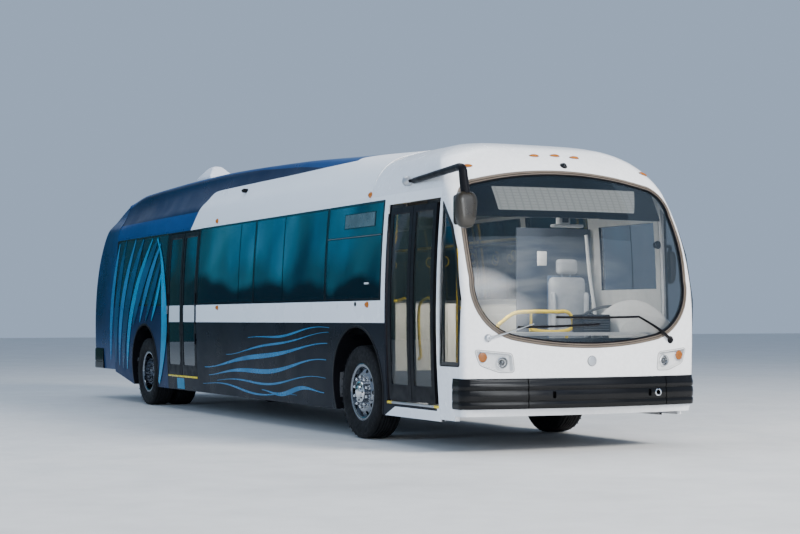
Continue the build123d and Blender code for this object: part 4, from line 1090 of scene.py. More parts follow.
def lined(points):
    """The inner face of a roof section."""
    out = []
    for i, (y, z) in enumerate(points):
        (ya, za), (yb, zb) = points[max(0, i - 1)], points[min(len(points) - 1, i + 1)]
        span = sqrt((yb - ya) ** 2 + (zb - za) ** 2)
        out.append((y - (zb - za) / span * ROOF_T, max(EAVE_Z, z + (yb - ya) / span * ROOF_T)))
    return out


def add_fairing():
    """The long roof crown over the ceiling, blue above and white along the front."""
    form = Form("roof_crown", sharp=50, replaces=["roof_fairing"], slot="body_blue")
    for side in SIDES:
        form.side(rect(at(CAP_FRONT), at(DOME_BACK), EAVE_Z - 0.014, EAVE_Z + 0.002), side, "crown", 0.002)
    places = steps(SECTIONS[0][0], SECTIONS[-1][0], 0.16)
    outer = [[(at(p), y, z) for y, z in roof_section(p)] for p in places]
    inner = [[(at(p), y, z) for y, z in lined(roof_section(p))] for p in places]
    form.grid(outer, "crown")
    form.grid(inner, "lining")
    for k in (0, -1):
        form.grid([outer[k], inner[k]], "crown")
        form.grid([[row[k] for row in outer], [row[k] for row in inner]], "crown")
    # A low band over each end's joint
    for row, kind, reach in ((outer[0], "crown", 0.026), (outer[-1], "white", 0.012)):
        bands = []
        for share, lift in ((-1, -0.003), (-0.9, 0.0018), (0.9, 0.0018), (1, -0.003)):
            bands.append([(x + reach * share, y + lift * max(-1, min(1, y / 0.3)), z + lift)
                          for x, y, z in row])
        form.grid(bands, kind)
    form.done()


def add_windscreen():
    """Screen glass in a rubber section that follows the bowed face."""
    rim = inset(screen_outline(), GASKET_W - 0.006)
    form = Form("screen_glass", sharp=60, replaces=["windscreen"], slot="clear_glass")
    place = on(NOSE, -GLASS_BACK)
    rows = [[place(y * s, SCREEN_MID + (z - SCREEN_MID) * s) for y, z in rim]
            for s in (1, 0.94, 0.86, 0.77, 0.67, 0.56, 0.44, 0.31, 0.17, 0.05)]
    form.grid(rows, "clear", ring=True)
    form.caps("clear", rows[-1])
    form.done()

    form = Form("screen_gasket", sharp=40, replaces=["windscreen_gasket"], slot="gasket_rubber")
    lips = [
        # distance in from the outline, height over the skin, finish of what follows
        (0.0005, -0.040, "gasket"), (0.0005, 0.003, "gasket"), (0.005, 0.007, "gasket"),
        (0.013, GASKET_PROUD, "gasket"), (0.022, GASKET_PROUD, "gasket"), (0.024, 0.004, "black"),
        (0.029, 0.004, "gasket"), (0.030, GASKET_PROUD, "gasket"), (0.040, GASKET_PROUD, "black"),
        (0.050, 0.004, "black"), (GASKET_W, -0.006, "black"), (GASKET_W, -0.040, "black"),
        (0.0005, -0.040, "black"),
    ]
    rings = [[on(NOSE, high)(*p) for p in screen_outline(by)] for by, high, _ in lips]
    for a, b, (_, _, kind) in zip(rings, rings[1:], lips):
        form.grid([a, b], kind, ring=True)
    form.done()


def bumper(form, rows):
    """A closed bumper from its plan rows, with both ends capped."""
    form.grid(rows, "bumper", loop=True)
    form.caps("bumper", [row[0] for row in rows], [row[-1] for row in rows])
    return form.done()


def add_front_bumper():
    """Black ribbed bumper in three sections, with slots and a bright collar round the towing socket."""
    form = Form("front_bumper_skin", sharp=30, replaces=["front_bumper"], slot="bumper_black")
    profile = [
        # height over the lower edge, how far in from the face
        (0.000, 0.040), (0.000, 0.014), (0.004, 0.006), (0.012, 0.0025), (0.034, 0.000), (0.050, 0.001),
        (0.066, 0.0035), (0.069, 0.010), (0.076, 0.010), (0.079, 0.0025), (0.100, 0.000), (0.130, 0.000),
        (0.152, 0.0015), (0.170, 0.0045), (0.173, 0.011), (0.180, 0.011), (0.183, 0.003), (0.202, 0.000),
        (0.220, 0.001), (0.236, 0.004), (0.250, 0.009), (0.256, 0.011), (0.262, 0.011), (0.276, 0.012),
        (0.282, 0.016), (0.284, 0.031), (0.2595, 0.031), (0.2585, 0.040),
    ]

    def ring(up, deep, depth=0.0):
        """Plan row of the bumper at a height, as far in as asked."""
        return NOSE.band(BUMPER_LOW + up, FACE_X + BUMPER_PROUD - deep - depth, HALF_W - 0.4 * deep - depth,
                         BUMPER_CORNER - depth, at(BUMPER_PLACE), BUMPER_STEPS)

    rows = [ring(up, deep) for up, deep in profile] + [ring(up, 0, BUMPER_DEPTH) for up in (0.258, 0.0)]
    obj = bumper(form, rows)
    mid, socket_y = BUMPER_LOW + 0.128, 0.78
    cutters = [prism_x(circle(socket_y, mid, SOCKET_R), at(2.2), BEYOND)]
    for ys, z, half_w, half_h, r, deep in (
        # slots, then the seams between the sections
        ((-0.398, 0.681), mid, 0.018, 0.032, 0.006, 0.03),
        ((-0.658, 0.889), 0.55, 0.005, 0.25, 0, 0.024),
    ):
        for y in ys:
            hole = around(y, z, half_w, half_h)
            floor_x = NOSE.x(y, mid) + BUMPER_PROUD - deep
            cutters.append(prism_x(rounded(hole, r, 2) if r else hole, floor_x, BEYOND))
    cut(obj, cutters)
    form = Form("towing_collar", sharp=40)
    form.lathe([(-0.01, SOCKET_R + 0.0005), (0.009, SOCKET_R + 0.0005), (0.014, 0.027), (0.009, 0.036),
                (-0.01, 0.039)],
               (NOSE.x(socket_y, mid) + BUMPER_PROUD, socket_y, mid), "chrome", 32, (1, 0, 0))
    form.done()


def add_rear_bumper():
    """Plain black bumper with one rib line and the rear towing socket."""
    form = Form("rear_bumper_skin", sharp=30, replaces=["rear_bumper"], slot="bumper_black")
    profile = [(0.0, 0.03), (0.0, 0.012), (0.012, 0.0), (0.10, 0.0), (0.104, 0.006), (0.112, 0.006),
               (0.116, 0.0), (0.300, 0.0), (0.312, 0.004), (0.320, 0.016), (0.320, 0.03)]
    back = -at(REAR_BUMPER_PLACE)
    rows = [TAIL.band(TAIL_LOW + up, FACE_X + BUMPER_PROUD - deep, HALF_W - deep, 0.155, back, BUMPER_STEPS)
            for up, deep in profile]
    rows += [TAIL.band(TAIL_LOW + up, FACE_X - 0.06, HALF_W - BUMPER_DEPTH, 0.10, back, BUMPER_STEPS)
             for up in (0.320, 0.0)]
    cut(bumper(form, rows), [prism_x(circle(-0.70, 0.60, SOCKET_R), -BEYOND, -FACE_X + 0.1)])


BOWLS = [
    # place, radius, then profiles of offsets and shares of the radius with their finish
    (AMBER, 0.043, [
        ([(-0.030, 1.12), (-0.013, 1.12), (-0.011, 1.04), (-0.014, 1)], "chrome"),
        ([(-0.015, 1), (-0.010, 0.92), (-0.007, 0.6), (-0.006, 0.25), (-0.006, 0)], "amber"),
    ]),
    (PROJECTOR, 0.040, [
        ([(-0.030, 1.5), (-0.012, 1.35), (-0.010, 1.2), (-0.022, 1), (-0.034, 0.8)], "chrome"),
        ([(-0.034, 0.8), (-0.022, 0.72), (-0.013, 0.5), (-0.010, 0.2), (-0.010, 0)], "bulb"),
    ]),
]


def scaled(profile, r):
    """A profile whose distances from its axis are shares of a radius."""
    return [(off, r * share) for off, share in profile]


def lean(end, y, z):
    """How far the skin of an end turns aside at a point, as an angle."""
    return atan2(end.x(y + 0.02, z) - end.x(y - 0.02, z), 0.04)


def add_lamps():
    """Headlamps under clear covers, and round tail lamps."""
    form = Form("headlamp_bowls", sharp=35, replaces=["lamps"], slot="lamp_lens")
    covers = Form("headlamp_covers", sharp=40)
    for side in SIDES:
        outline = lamp_outline(side)

        def ring(by, high):
            """The lamp's outline, moved in and off the skin."""
            return [on(NOSE, high)(*p) for p in inset(outline, by)]

        cuts = across([side * y for y in (0.84, 0.88, 0.92, 0.96, 1.0, 1.04, 1.08, 1.12)])
        form.grid([ring(0.0015, 0.001), ring(0.012, 0.001), ring(0.022, -0.03)], "reflector", ring=True)
        form.plate(inset(outline, 0.022), on(NOSE, -0.03), "reflector", None, cuts)
        trim = [ring(-0.003, -0.002), ring(-0.002, 0.0022), ring(0.0015, 0.0026), ring(0.003, 0.0)]
        form.grid(trim, "seam", ring=True)
        covers.plate(inset(outline, 0.003), on(NOSE, 0.0016), "lens", None, cuts)
        for (y, z), r, parts in BOWLS:
            turn = lean(NOSE, y, z) * 0.5
            for profile, kind in parts:
                form.lathe(scaled(profile, r), (NOSE.x(y, z), side * y, z), kind, 36,
                           (cos(turn), -side * sin(turn), 0))
        for z, kind in TAIL_LAMPS.items():
            y, turn = side * TAIL_LAMP_Y, lean(TAIL, TAIL_LAMP_Y, z)
            for profile, mat in (([(-0.03, 0.99), (0.002, 0.99), (0.0045, 0.93), (0.001, 0.88)], "black"),
                                 ([(0.001, 0.88), (0.004, 0.7), (0.0055, 0.35), (0.0058, 0)], kind)):
                form.lathe(scaled(profile, TAIL_LAMP_R), (TAIL.x(y, z), y, z), mat, 40,
                           (-cos(turn), side * sin(turn), 0))
    form.done()
    covers.done()


# Wheels
RIM_R = 0.292
FRONT_DISC_Y = 1.205
REAR_DISC_Y = (WHEEL_Y + TWIN_Y) / 2 + 0.016
FRONT_HUB_OUT, REAR_HUB_OUT = 0.040, 0.060
NUTS, NUT_CIRCLE_R = 10, 0.155
LUGS = 36
# Faces of a block whose corners are counted along three axes
LUG_FACES = [[0, 1, 3, 2], [4, 5, 7, 6], [0, 1, 5, 4], [2, 3, 7, 6], [0, 2, 6, 4], [1, 3, 7, 5]]
ARCH_R, ARCH_Z, ARCH_FOOT = 0.62, 0.54, 0.577


def tyre_profile():
    """Half section of a tyre, from the outer bead over the running band to the middle."""
    half = [(off, RIM_R + up) for off, up in (
        (0.106, -0.004), (0.114, 0.006), (0.126, 0.016), (0.128, 0.022), (0.133, 0.030), (0.143, 0.060),
        (0.1445, 0.066), (0.148, 0.085), (0.150, 0.105))]
    half += [(0.148, 0.425), (0.1435, 0.440), (0.1455, 0.443), (0.1425, 0.452), (0.136, 0.466),
             (0.128, 0.476), (0.119, 0.4805)]
    for mid in (0.088, 0.047, 0.0155):
        r = TYRE_R - 0.0015 * mid / 0.1
        half += [(mid + 0.006, r), (mid + 0.0045, r - 0.011), (mid - 0.0045, r - 0.011), (mid - 0.006, r)]
    return half


def add_tyres(node, body, x, ys):
    """Grooved tyres with small lugs round the shoulder, at one or two places across the bus."""
    form = Form(node + "_tread", body, sharp=28, replaces=[node], slot="tyre")
    half = tyre_profile()
    profile = [(-off, r) for off, r in half] + [(off, r) for off, r in reversed(half)]
    for y in ys:
        form.lathe(profile, (x, y, TYRE_R), "tyre", 72)
        shoulder = 0.1445 if y > 0 else -0.1445
        for a in turns(LUGS, 0.5):
            spin = Matrix.Rotation(-a, 3, "Y")
            form.add([spin @ Vector((TYRE_R - up, shoulder + out, z)) + Vector((x, y, TYRE_R))
                      for z in (-0.007, 0.007) for out in (-0.0015, 0.0008) for up in (0.028, 0.012)],
                     LUG_FACES, "tyre")
    form.done()


def add_wheel_dressing(name, body, x, side, disc_y, hub):
    """Hub cover with bolts, wheel nuts, the rim's bead and the valve of a disc wheel."""
    form = Form(name, body, sharp=40)
    axis = (0, side, 0)
    mid = Vector((x, side * disc_y, TYRE_R))
    form.lathe([(hub - 0.002, 0.112), (hub + 0.006, 0.108), (hub + 0.010, 0.095), (hub + 0.012, 0.07),
                (hub + 0.026, 0.064), (hub + 0.030, 0.055), (hub + 0.032, 0.03), (hub + 0.032, 0)],
               mid, "chrome", 48, axis)
    for a in turns(8):
        bolt = mid + Vector((0.084 * cos(a), side * (hub + 0.011), 0.084 * sin(a)))
        form.lathe([(0, 0.009), (0.008, 0.009), (0.010, 0.006), (0.010, 0)], bolt, "iron", 6, axis)
    for a in turns(NUTS, 0.5):
        nut = mid + Vector((NUT_CIRCLE_R * cos(a), 0, NUT_CIRCLE_R * sin(a)))
        form.lathe([(-0.001, 0.024), (0.004, 0.024), (0.005, 0.0185), (0.030, 0.0165), (0.040, 0.0145),
                    (0.047, 0.010), (0.050, 0.004), (0.050, 0)], nut, "chrome", 12, axis)
    bead = [(off, RIM_R + up) for off, up in (
        (-0.004, -0.031), (0.004, -0.029), (0.007, -0.020), (0.007, -0.006), (0.012, -0.001),
        (0.011, 0.006), (0.004, 0.004), (-0.004, -0.004))]
    form.lathe(bead, (x, side * (WHEEL_Y + 0.108), TYRE_R), "alloy", 72, axis)
    form.tube([mid + Vector((0.215, -side * 0.01, -0.08)), mid + Vector((0.212, side * 0.035, -0.079))],
              0.006, "chrome", 8)
    form.done()


def add_wheels():
    """Tread and dressing of all wheels; the rear ones are twins."""
    for side, word in ((CURB, "curb"), (STREET, "street")):
        front, rear = f"front_{word}", f"rear_{word}"
        add_tyres(front + "_tyre", front + "_wheel", FRONT_AXLE, [side * WHEEL_Y])
        add_tyres(rear + "_tyres", rear + "_wheels", REAR_AXLE, [side * WHEEL_Y, side * TWIN_Y])
        add_wheel_dressing(front + "_studs", front + "_wheel", FRONT_AXLE, side, FRONT_DISC_Y, FRONT_HUB_OUT)
        add_wheel_dressing(rear + "_studs", rear + "_wheels", REAR_AXLE, side, REAR_DISC_Y, REAR_HUB_OUT)


def add_arch_lips():
    """Black rubber lips round the wheel arches, with a liner behind each and a near-black patch over its top
    that paints the shade in the arch.
    """
    form = Form("arch_lips", sharp=35, slot="gasket_rubber")
    section = [(0.022, 0.0005), (0.019, 0.005), (0.000, 0.006), (-0.005, 0.001), (-0.006, -0.30),
               (-0.006, -0.56)]
    for side in SIDES:
        for x0 in (FRONT_AXLE, REAR_AXLE):
            rows = []
            for off, proud in section:
                r, foot = ARCH_R + off, ARCH_FOOT + off
                ring = [(r * cos(a), ARCH_Z + r * sin(a)) for a in steps(radians(-21), radians(201), 0.06)]
                ring = [(foot, 0.283)] + ring + [(-foot, 0.283)]
                rows.append([(x0 + x, side * side_y(z, proud), z) for x, z in ring])
            form.grid(rows, "black")
            # Painted shade: a near-black patch fills the top of the arch opening
            top = [(x0 + ARCH_R * cos(a), ARCH_Z + ARCH_R * sin(a))
                   for a in steps(radians(61), radians(119), 0.08)]
            form.side(top, side, "hollow", -0.043)
    form.done()


# Side mirrors: root, elbow and head as place, y and z; then width, reach of the foot, girths, knob finish
MIRRORS = [
    (CURB, ((1.14, 1.215, 2.59), (2.445, 1.335, 2.655), (2.440, 1.298, 2.236)),
     0.228, 0.10, (0.030, 0.045), "satin"),
    (STREET, ((1.832, 1.22, 1.985), (1.85, 1.358, 1.995), (1.85, 1.358, 1.76)),
     0.11, 0.03, (0.018, 0.020), "black"),
]
MIRROR_H, MIRROR_T = 0.345, 0.118


def mirror_ring(head, width, t):
    """One level of a mirror's shell: a soft rectangle that narrows at both ends and towards its foot."""
    swell = max(0.02, (1 - abs(2 * t - 1) ** 3.6) ** (1 / 2.6))
    w = width / 2 * swell * (0.80 + 0.20 * min(1, t * 1.4))
    d = MIRROR_T / 2 * swell
    ring = []
    for a in turns(40):
        c, s = cos(a), sin(a)
        ring.append((head.x + d * (abs(c) ** 0.75) * (1 if c > 0 else -1),
                     head.y + w * (abs(s) ** 0.6) * (1 if s > 0 else -1), head.z + MIRROR_H * (t - 0.5)))
    return ring


def add_mirrors():
    """Mirror heads as rounded shells on bent arms."""
    form = Form("mirror_heads", sharp=45, replaces=["mirrors"], slot="mirror_shell")
    for side, points, width, reach, (thin, thick), finish_of_knob in MIRRORS:
        root, elbow, head = (Vector((at(p), side * y, z)) for p, y, z in points)
        top = head + Vector((0, 0, MIRROR_H / 2 - 0.02))
        bend = elbow - Vector((0, 0, 0.024))
        start = root + (bend - root).normalized() * reach
        path = [start, start.lerp(bend, 0.5), start.lerp(bend, 0.88),
                bend.lerp(start, 0.05) + Vector((0, 0, -0.004)),
                bend.lerp(top, 0.12), bend.lerp(top, 0.5), top]
        form.tube(spline(path, 5), lambda t: thin + (thick - thin) * t, "black", 14)
        knob = root + Vector((0, side * 0.022, 0.004))
        form.lathe([(-0.06, 0.030), (-0.016, 0.044), (0.010, 0.052), (0.034, 0.049), (0.054, 0.034),
                    (0.064, 0)], knob, finish_of_knob, 24, (0, side, 0.1))
        form.tube([knob + Vector((0, side * 0.02, 0)), start + (bend - start) * 0.03], 0.018, "black", 10)
        rows = [mirror_ring(head, width, i / 24) for i in range(25)]
        form.grid(rows, "shell", ring=True)
        form.caps("shell", rows[0], rows[-1])
        face = rounded(around(0, 0, width * 0.4, MIRROR_H * 0.40), 0.03)
        x = head.x - MIRROR_T / 2
        form.plate(face, lambda y, z, d: (x - 0.001 - d, head.y + y, head.z + z), "mirror", -0.01)
    form.done()


WIPERS = [
    # pivot, knee and end of the arm in the end view; ends of the blade; root girth, lean and finish
    ((-1.040, 1.068), (-0.86, 1.115), (-0.600, 1.196),
     (-0.745, 1.166), (0.100, 1.192), 0.019, -0.15, "satin"),
    ((0.962, 1.040), (0.79, 1.150), (0.560, 1.262),
     (0.560, 1.262), (-0.360, 1.258), 0.026, 0.15, "black"),
]


def on_blade(low, high, t, sag=0.0):
    """A point of the end view along a wiper's blade, which sags between its ends."""
    return low[0] + (high[0] - low[0]) * t, low[1] + (high[1] - low[1]) * t - sag * t * (1 - t)


def add_wipers():
    """Two wipers with bent arms, hoses, and blades with clips that follow the glass."""
    form = Form("wipers", sharp=40)
    for pivot, knee, tip, low, high, girth, tilt, mat in WIPERS:
        form.lathe([(-0.01, 0.038), (0.006, 0.036), (0.013, 0.030), (0.021, 0.022), (0.023, 0)],
                   on(NOSE)(*pivot), mat, 24, (1, tilt, 0.05))
        arm = spline([on(NOSE, h)(*p) for p, h in ((pivot, 0.016), (knee, 0.018), (tip, 0.012))], 8)
        form.tube(arm, lambda t: girth - 0.010 * t, mat, 10, flat=0.55)
        hose = [on(NOSE, h)(pivot[0], pivot[1] + up)
                for h, up in ((0.004, -0.035), (0.012, -0.02), (0.015, 0.0))]
        form.tube(hose, 0.006, "black", 8)
        spine = [on(NOSE, 0.004)(*on_blade(low, high, t, 0.02)) for t in steps(0, 1, 0.05)]
        form.tube(spine, 0.014, "black", 8, flat=0.8)
        form.tube([(x - 0.011, y, z - 0.004) for x, y, z in spine], 0.0055, "gloss_black", 6)
        for t in (0.18, 0.36, 0.64, 0.82):
            clip, half = Vector(on(NOSE, 0.008)(*on_blade(low, high, t))), Vector((0.004, 0.022, 0.006))
            form.box(clip - half, clip + half, "black", 0.003)
    form.done()


# Small lamps and fittings on the skin, as y and z, or as place, z and radius on the sides
CLEARANCE_LAMPS = [(-0.965, 2.696), (-0.185, 2.831), (0.057, 2.842), (0.275, 2.831), (1.053, 2.693)]
REAR_LAMPS = [(-0.9, 2.62), (-0.18, 2.80), (0, 2.80), (0.18, 2.80), (0.9, 2.62)]
SIDE_MARKERS = [(-4.41, 2.51, 0.03), (0.32, 2.52, 0.03), (-4.22, 1.39, 0.026), (0.38, 1.39, 0.028)]
NOSE_DISCS = [
    # y, z, profile, finish, sides: the camera eye over the screen and the blank badge
    (0.079, 2.733, [(-0.01, 0.040), (0.006, 0.038), (0.010, 0.030)], "black", 28),
    (0.079, 2.733, [(0.008, 0.030), (0.018, 0.027), (0.026, 0.018), (0.030, 0.008), (0.031, 0)],
     "gloss_black", 28),
    (0.018, 0.847, [(-0.004, 0.050), (0.004, 0.049), (0.006, 0.045)], "seam", 40),
    (0.018, 0.847, [(0.006, 0.045), (0.0075, 0.030), (0.0085, 0.0)], "satin", 40),
]


def skin_axis(end, y, z):
    """Outward axis of an end's skin at a point of its end view."""
    e = 0.01
    dy = (end.x(y + e, z) - end.x(y - e, z)) / (2 * e)
    dz = (end.x(y, z + e) - end.x(y, z - e)) / (2 * e)
    return Vector((1, -dy, -dz)).normalized() * end.ahead


def oval(form, centre, axis, along, length, mat):
    """A small oval lamp on a base, along a direction on the skin."""
    width, rise = 0.04, 0.016
    axis, along = Vector(axis).normalized(), Vector(along).normalized()
    up = axis.cross(along)
    rows = []
    for h, s in ((-0.006, 1.12), (0.003, 1.12), (0.004, 1.0),
                 (rise * 0.6, 0.92), (rise * 0.92, 0.66), (rise, 0.3)):
        rows.append([Vector(centre) + axis * h + along * (length / 2 * s * cos(a))
                     + up * (width / 2 * s * sin(a)) for a in turns(20)])
    form.grid(rows[:3], "seam", ring=True)
    form.grid(rows[2:], mat, ring=True)
    form.caps(mat, rows[-1])


def add_skin_fittings():
    """Clearance lamps, side markers, cameras, door button and the blank round badge."""
    form = Form("skin_fittings", sharp=40)
    for y, z in CLEARANCE_LAMPS:
        axis = skin_axis(NOSE, y, z)
        oval(form, on(NOSE)(y, z), axis, -Vector((0, 1, 0)).cross(axis).cross(axis), 0.105, "amber")
    for y, z in REAR_LAMPS:
        oval(form, on(TAIL)(y, z), skin_axis(TAIL, y, z), (0, 1, 0), 0.10, "lamp_red")
    for y, z, profile, mat, sides in NOSE_DISCS:
        form.lathe(profile, on(NOSE)(y, z), mat, sides, skin_axis(NOSE, y, z))
    for side in SIDES:
        for place, z, r in SIDE_MARKERS:
            y = side_y(z) if z < EAVE_Z else side_y(EAVE_Z) - (z - EAVE_Z) * 0.25
            form.lathe([(-0.004, r + 0.005), (0.006, r + 0.005), (0.009, r), (0.022, r * 0.8),
                        (0.029, r * 0.4), (0.031, 0)], (seen(place), side * y, z), "amber", 28, (0, side, 0))
    button_z = 1.397
    form.lathe([(-0.004, 0.024), (0.005, 0.023), (0.003, 0.017), (0.006, 0.012), (0.006, 0)],
               (seen(0.08), -side_y(button_z), button_z), "black", 24, (0, -1, 0))
    x = seen(-3.6)
    form.box((x - 0.035, -1.185, 2.825), (x + 0.035, -1.12, 2.875), "black", 0.012)
    form.box((x - 0.02, -1.20, 2.835), (x + 0.02, -1.17, 2.865), "gloss_black", 0.012)
    form.done()


# Side windows as places of both ends
PANES = {
    CURB: [(-9.010, -7.757), (-7.743, -6.520), (-5.130, -3.042), (-3.028, -0.831), (-0.817, 0.600)],
    STREET: [(-9.010, -7.100), (-7.086, -5.100), (-5.086, -3.042), (-3.028, -0.831), (-0.817, 0.600)],
}
JOINT_PLACES = (-3.563, -2.090)
DRIVER_PANE = rect(at(0.713), at(1.817), 1.503, 2.257)
SPLIT_Z = 2.10
SPLIT_BARS = [
    # gap at both ends, half height, finish, proud of the skin
    (0.02, 0.009, "gloss_black", 0.004),
    (0.03, 0.0025, "seam", 0.006),
]


def add_side_glazing():
    """Black borders, joints and upper rails of the side windows, and the small side sign."""
    form = Form("window_trim", sharp=40)
    for side, panes in PANES.items():
        for p0, p1 in panes:
            hoop = rect(at(p0) + 0.003, at(p1) - 0.003, BAND_Z + 0.003, BAND_TOP_Z - 0.003)
            form.border(hoop, 0.022, side, "gloss_black")
            if p1 > 0:
                for gap, half, mat, proud in SPLIT_BARS:
                    bar = rect(at(p0) + gap, at(p1) - gap, SPLIT_Z - half, SPLIT_Z + half)
                    form.side(bar, side, mat, proud)
        for place in JOINT_PLACES:
            joint = rect(at(place) - 0.007, at(place) + 0.007, BAND_Z + 0.02, BAND_TOP_Z - 0.02)
            form.side(joint, side, "gloss_black", 0.0025)
        if side == STREET:
            form.border(DRIVER_PANE, 0.034, side, "gloss_black")
            form.side(rect(at(1.27), at(1.285), 1.53, 2.23), side, "black", 0.004)
    sign = rounded(rect(seen(-0.28), seen(0.50), 2.19, 2.35), 0.01, 3)
    form.side(sign, CURB, "gloss_black", 0.002)
    form.side(inset(sign, 0.018), CURB, "sign_dim", 0.0035)
    form.side(rect(seen(0.30), seen(0.41), 1.60, 1.618), CURB, "pale", 0.005)
    for side in SIDES:
        for a, b, mat, proud in ((0.0, 0.012, "black", 0.001), (0.012, 0.045, "gloss_black", -0.0035)):
            form.grid([[(x, side * side_y(z, proud), z) for x, z in inset(quarter_outline(), by)]
                       for by in (a, b)], mat, ring=True)
    form.done()


# Paint lines of the builder's own design: long waves on the flank and sweeping leaves on the tail
def fine(t):
    """Half width of a thin wave along its length."""
    return 0.006 + 0.020 * sin(pi * min(1, t * 1.05)) ** 2


def bold(t):
    """Half width of a broad wave along its length."""
    return 0.010 + 0.045 * sin(pi * min(1, t * 1.02)) ** 2


WAVES = [
    # from x, to x, from z, to z, swing, phase, width
    (-4.75, -0.66, 0.62, 0.98, 0.05, 0.0, bold),
    (-4.60, -0.70, 0.52, 0.80, 0.07, 0.1, bold),
    (-4.30, -0.74, 0.46, 0.60, 0.06, 0.2, fine),
    (-3.90, -0.62, 0.80, 1.10, 0.04, 0.0, fine),
    (-3.10, -0.60, 1.02, 1.15, 0.03, 0.3, fine),
    (-4.85, -1.60, 0.40, 0.38, 0.05, 0.1, fine),
    (-2.70, -0.80, 0.40, 0.44, 0.05, 0.5, bold),
]
TAIL_BLADES = [
    # from place, to place, from z, to z, bow, width, finish: leaves that fan out over the tail's side
    (-9.30, -8.95, 0.62, 2.40, -0.06, 0.16, "line"),
    (-9.02, -8.60, 0.58, 2.43, -0.10, 0.22, "deep"),
    (-8.82, -8.10, 0.54, 2.43, -0.16, 0.17, "line"),
    (-8.62, -7.70, 0.50, 2.42, -0.20, 0.24, "deep"),
    (-8.42, -7.26, 0.50, 2.40, -0.24, 0.16, "cyan"),
    (-8.05, -6.98, 1.16, 2.40, -0.12, 0.22, "deep"),
    (-7.72, -6.84, 1.20, 2.32, -0.06, 0.14, "line"),
    (-7.42, -6.76, 1.22, 2.12, 0.00, 0.16, "deep"),
    (-7.14, -6.72, 1.22, 1.90, 0.04, 0.10, "cyan"),
]
SWEEP = [(-6.86, 0.34), (-6.70, 0.60), (-6.58, 0.90), (-6.53, 1.18), (-6.56, 1.50), (-6.64, 1.85),
         (-6.78, 2.15), (-7.02, 2.40)]


def wave(x0, x1, z0, z1, swing, phase):
    """A line that drifts from one height to another with a soft wave."""
    pts = []
    for t in steps(0, 1, 1 / 48):
        ease = t * t * (3 - 2 * t)
        lift = swing * sin(2 * pi * (t + phase)) * t * (1 - t) * 4
        pts.append((x0 + (x1 - x0) * t, z0 + (z1 - z0) * ease + lift))
    return pts


def add_livery_lines():
    """The waves and leaves on both flanks, and the bright sweep behind the rear door."""
    form = Form("paint_lines", sharp=60, slot="body_blue")
    for side in SIDES:
        for x0, x1, z0, z1, swing, phase, width in WAVES:
            form.ribbon(wave(seen(x0), seen(x1), z0, z1, swing, phase), width, side, "line", 0.0025)
        for k, (p0, p1, z0, z1, bow, wide, mat) in enumerate(TAIL_BLADES):
            pts = [(at(p0) + (at(p1) - at(p0)) * t + bow * sin(pi * t), z0 + (z1 - z0) * t)
                   for t in (i / 32 for i in range(33))]
            form.ribbon(pts, lambda t: wide * sin(pi * (0.04 + 0.92 * t)) ** 0.8, side, mat,
                        0.003 + 0.0006 * k)
    sweep = spline([(at(p), z) for p, z in SWEEP], 6)
    form.ribbon(sweep, lambda t: 0.05 + 0.20 * sin(pi * min(1, 0.06 + t)) ** 1.6, CURB, "cyan", 0.0085)
    form.side(rect(at(-6.04), at(-5.73), 0.295, 0.440), CURB, "cyan", 0.002)
    form.done()


# Door leaves, and whether each meets its partner at its fore edge
LEAVES = {"front_door_aft_leaf": True, "front_door_fore_leaf": False,
          "rear_door_aft_leaf": True, "rear_door_fore_leaf": False}
STEPS = [
    # place of each end, height, places that are yellow
    (0.705, 1.840, 0.409, [(0.705, 0.805), (1.740, 1.840)]),
    (-6.415, -5.175, 0.461, [(-6.415, -5.175)]),
]


def add_door_steps():
    """Plates on the edges of both door steps, with yellow marks."""
    form = Form("door_steps", sharp=35)
    for p0, p1, z, edges in STEPS:
        y = side_y(z)
        form.box((at(p0), -y - 0.002, z - 0.006), (at(p1), -y + 0.055, z + 0.0145), "satin", 0.004)
        for a, b in edges:
            form.box((at(a), -y - 0.004, z - 0.008), (at(b), -y + 0.02, z + 0.0165), "yellow", 0.003)
    form.done()


def add_leaf_trim(name, meets_fore):
    """The rubber where a leaf meets its partner, its pane's gasket, and a hand rail at the front door."""
    low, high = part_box(name)
    form = Form(name + "_trim", name, sharp=35)
    x = high.x - 0.009 if meets_fore else low.x + 0.009
    form.grid([[(x + 0.006 * c, 0.004 - side_y(z) - 0.0035 * s, z)
                for c, s in ((-1, 0), (-0.7, 0.8), (0, 1), (0.7, 0.8), (1, 0))]
               for z in steps(low.z + 0.03, high.z - 0.03, 0.12)], "black")
    pane_low, pane_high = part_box(name.replace("_leaf", "_glass"))
    hoop = rect(pane_low.x - 0.004, pane_high.x + 0.004, pane_low.z - 0.004, pane_high.z + 0.004)
    hoop = rounded(hoop, 0.035, 5)
    lips = [(hoop, 0.0006), (inset(hoop, 0.004), 0.002), (inset(hoop, 0.012), -0.004)]
    form.grid([[(px, -side_y(pz, proud), pz) for px, pz in ring] for ring, proud in lips],
              "black", ring=True)
    if name.startswith("front"):
        y = -side_y(1.3) + 0.075
        a, b = (low.x + 0.07, high.x - 0.06) if meets_fore else (high.x - 0.07, low.x + 0.06)
        bar = spline([(a, y, 1.42), (a + (b - a) * 0.55, y, 1.44), (b, y, 1.36), (b, y, 1.05),
                      (b + (a - b) * 0.12, y, 0.86)], 7)
        bar[0] = (a, y - 0.035, 1.42)
        bar[-1] = (bar[-1][0], y - 0.035, 0.85)
        form.tube(bar, 0.014, "yellow", 12)
    form.done()


def add_door_fittings():
    """Step edges of both doors and the trim of their leaves."""
    add_door_steps()
    for name, meets_fore in LEAVES.items():
        add_leaf_trim(name, meets_fore)


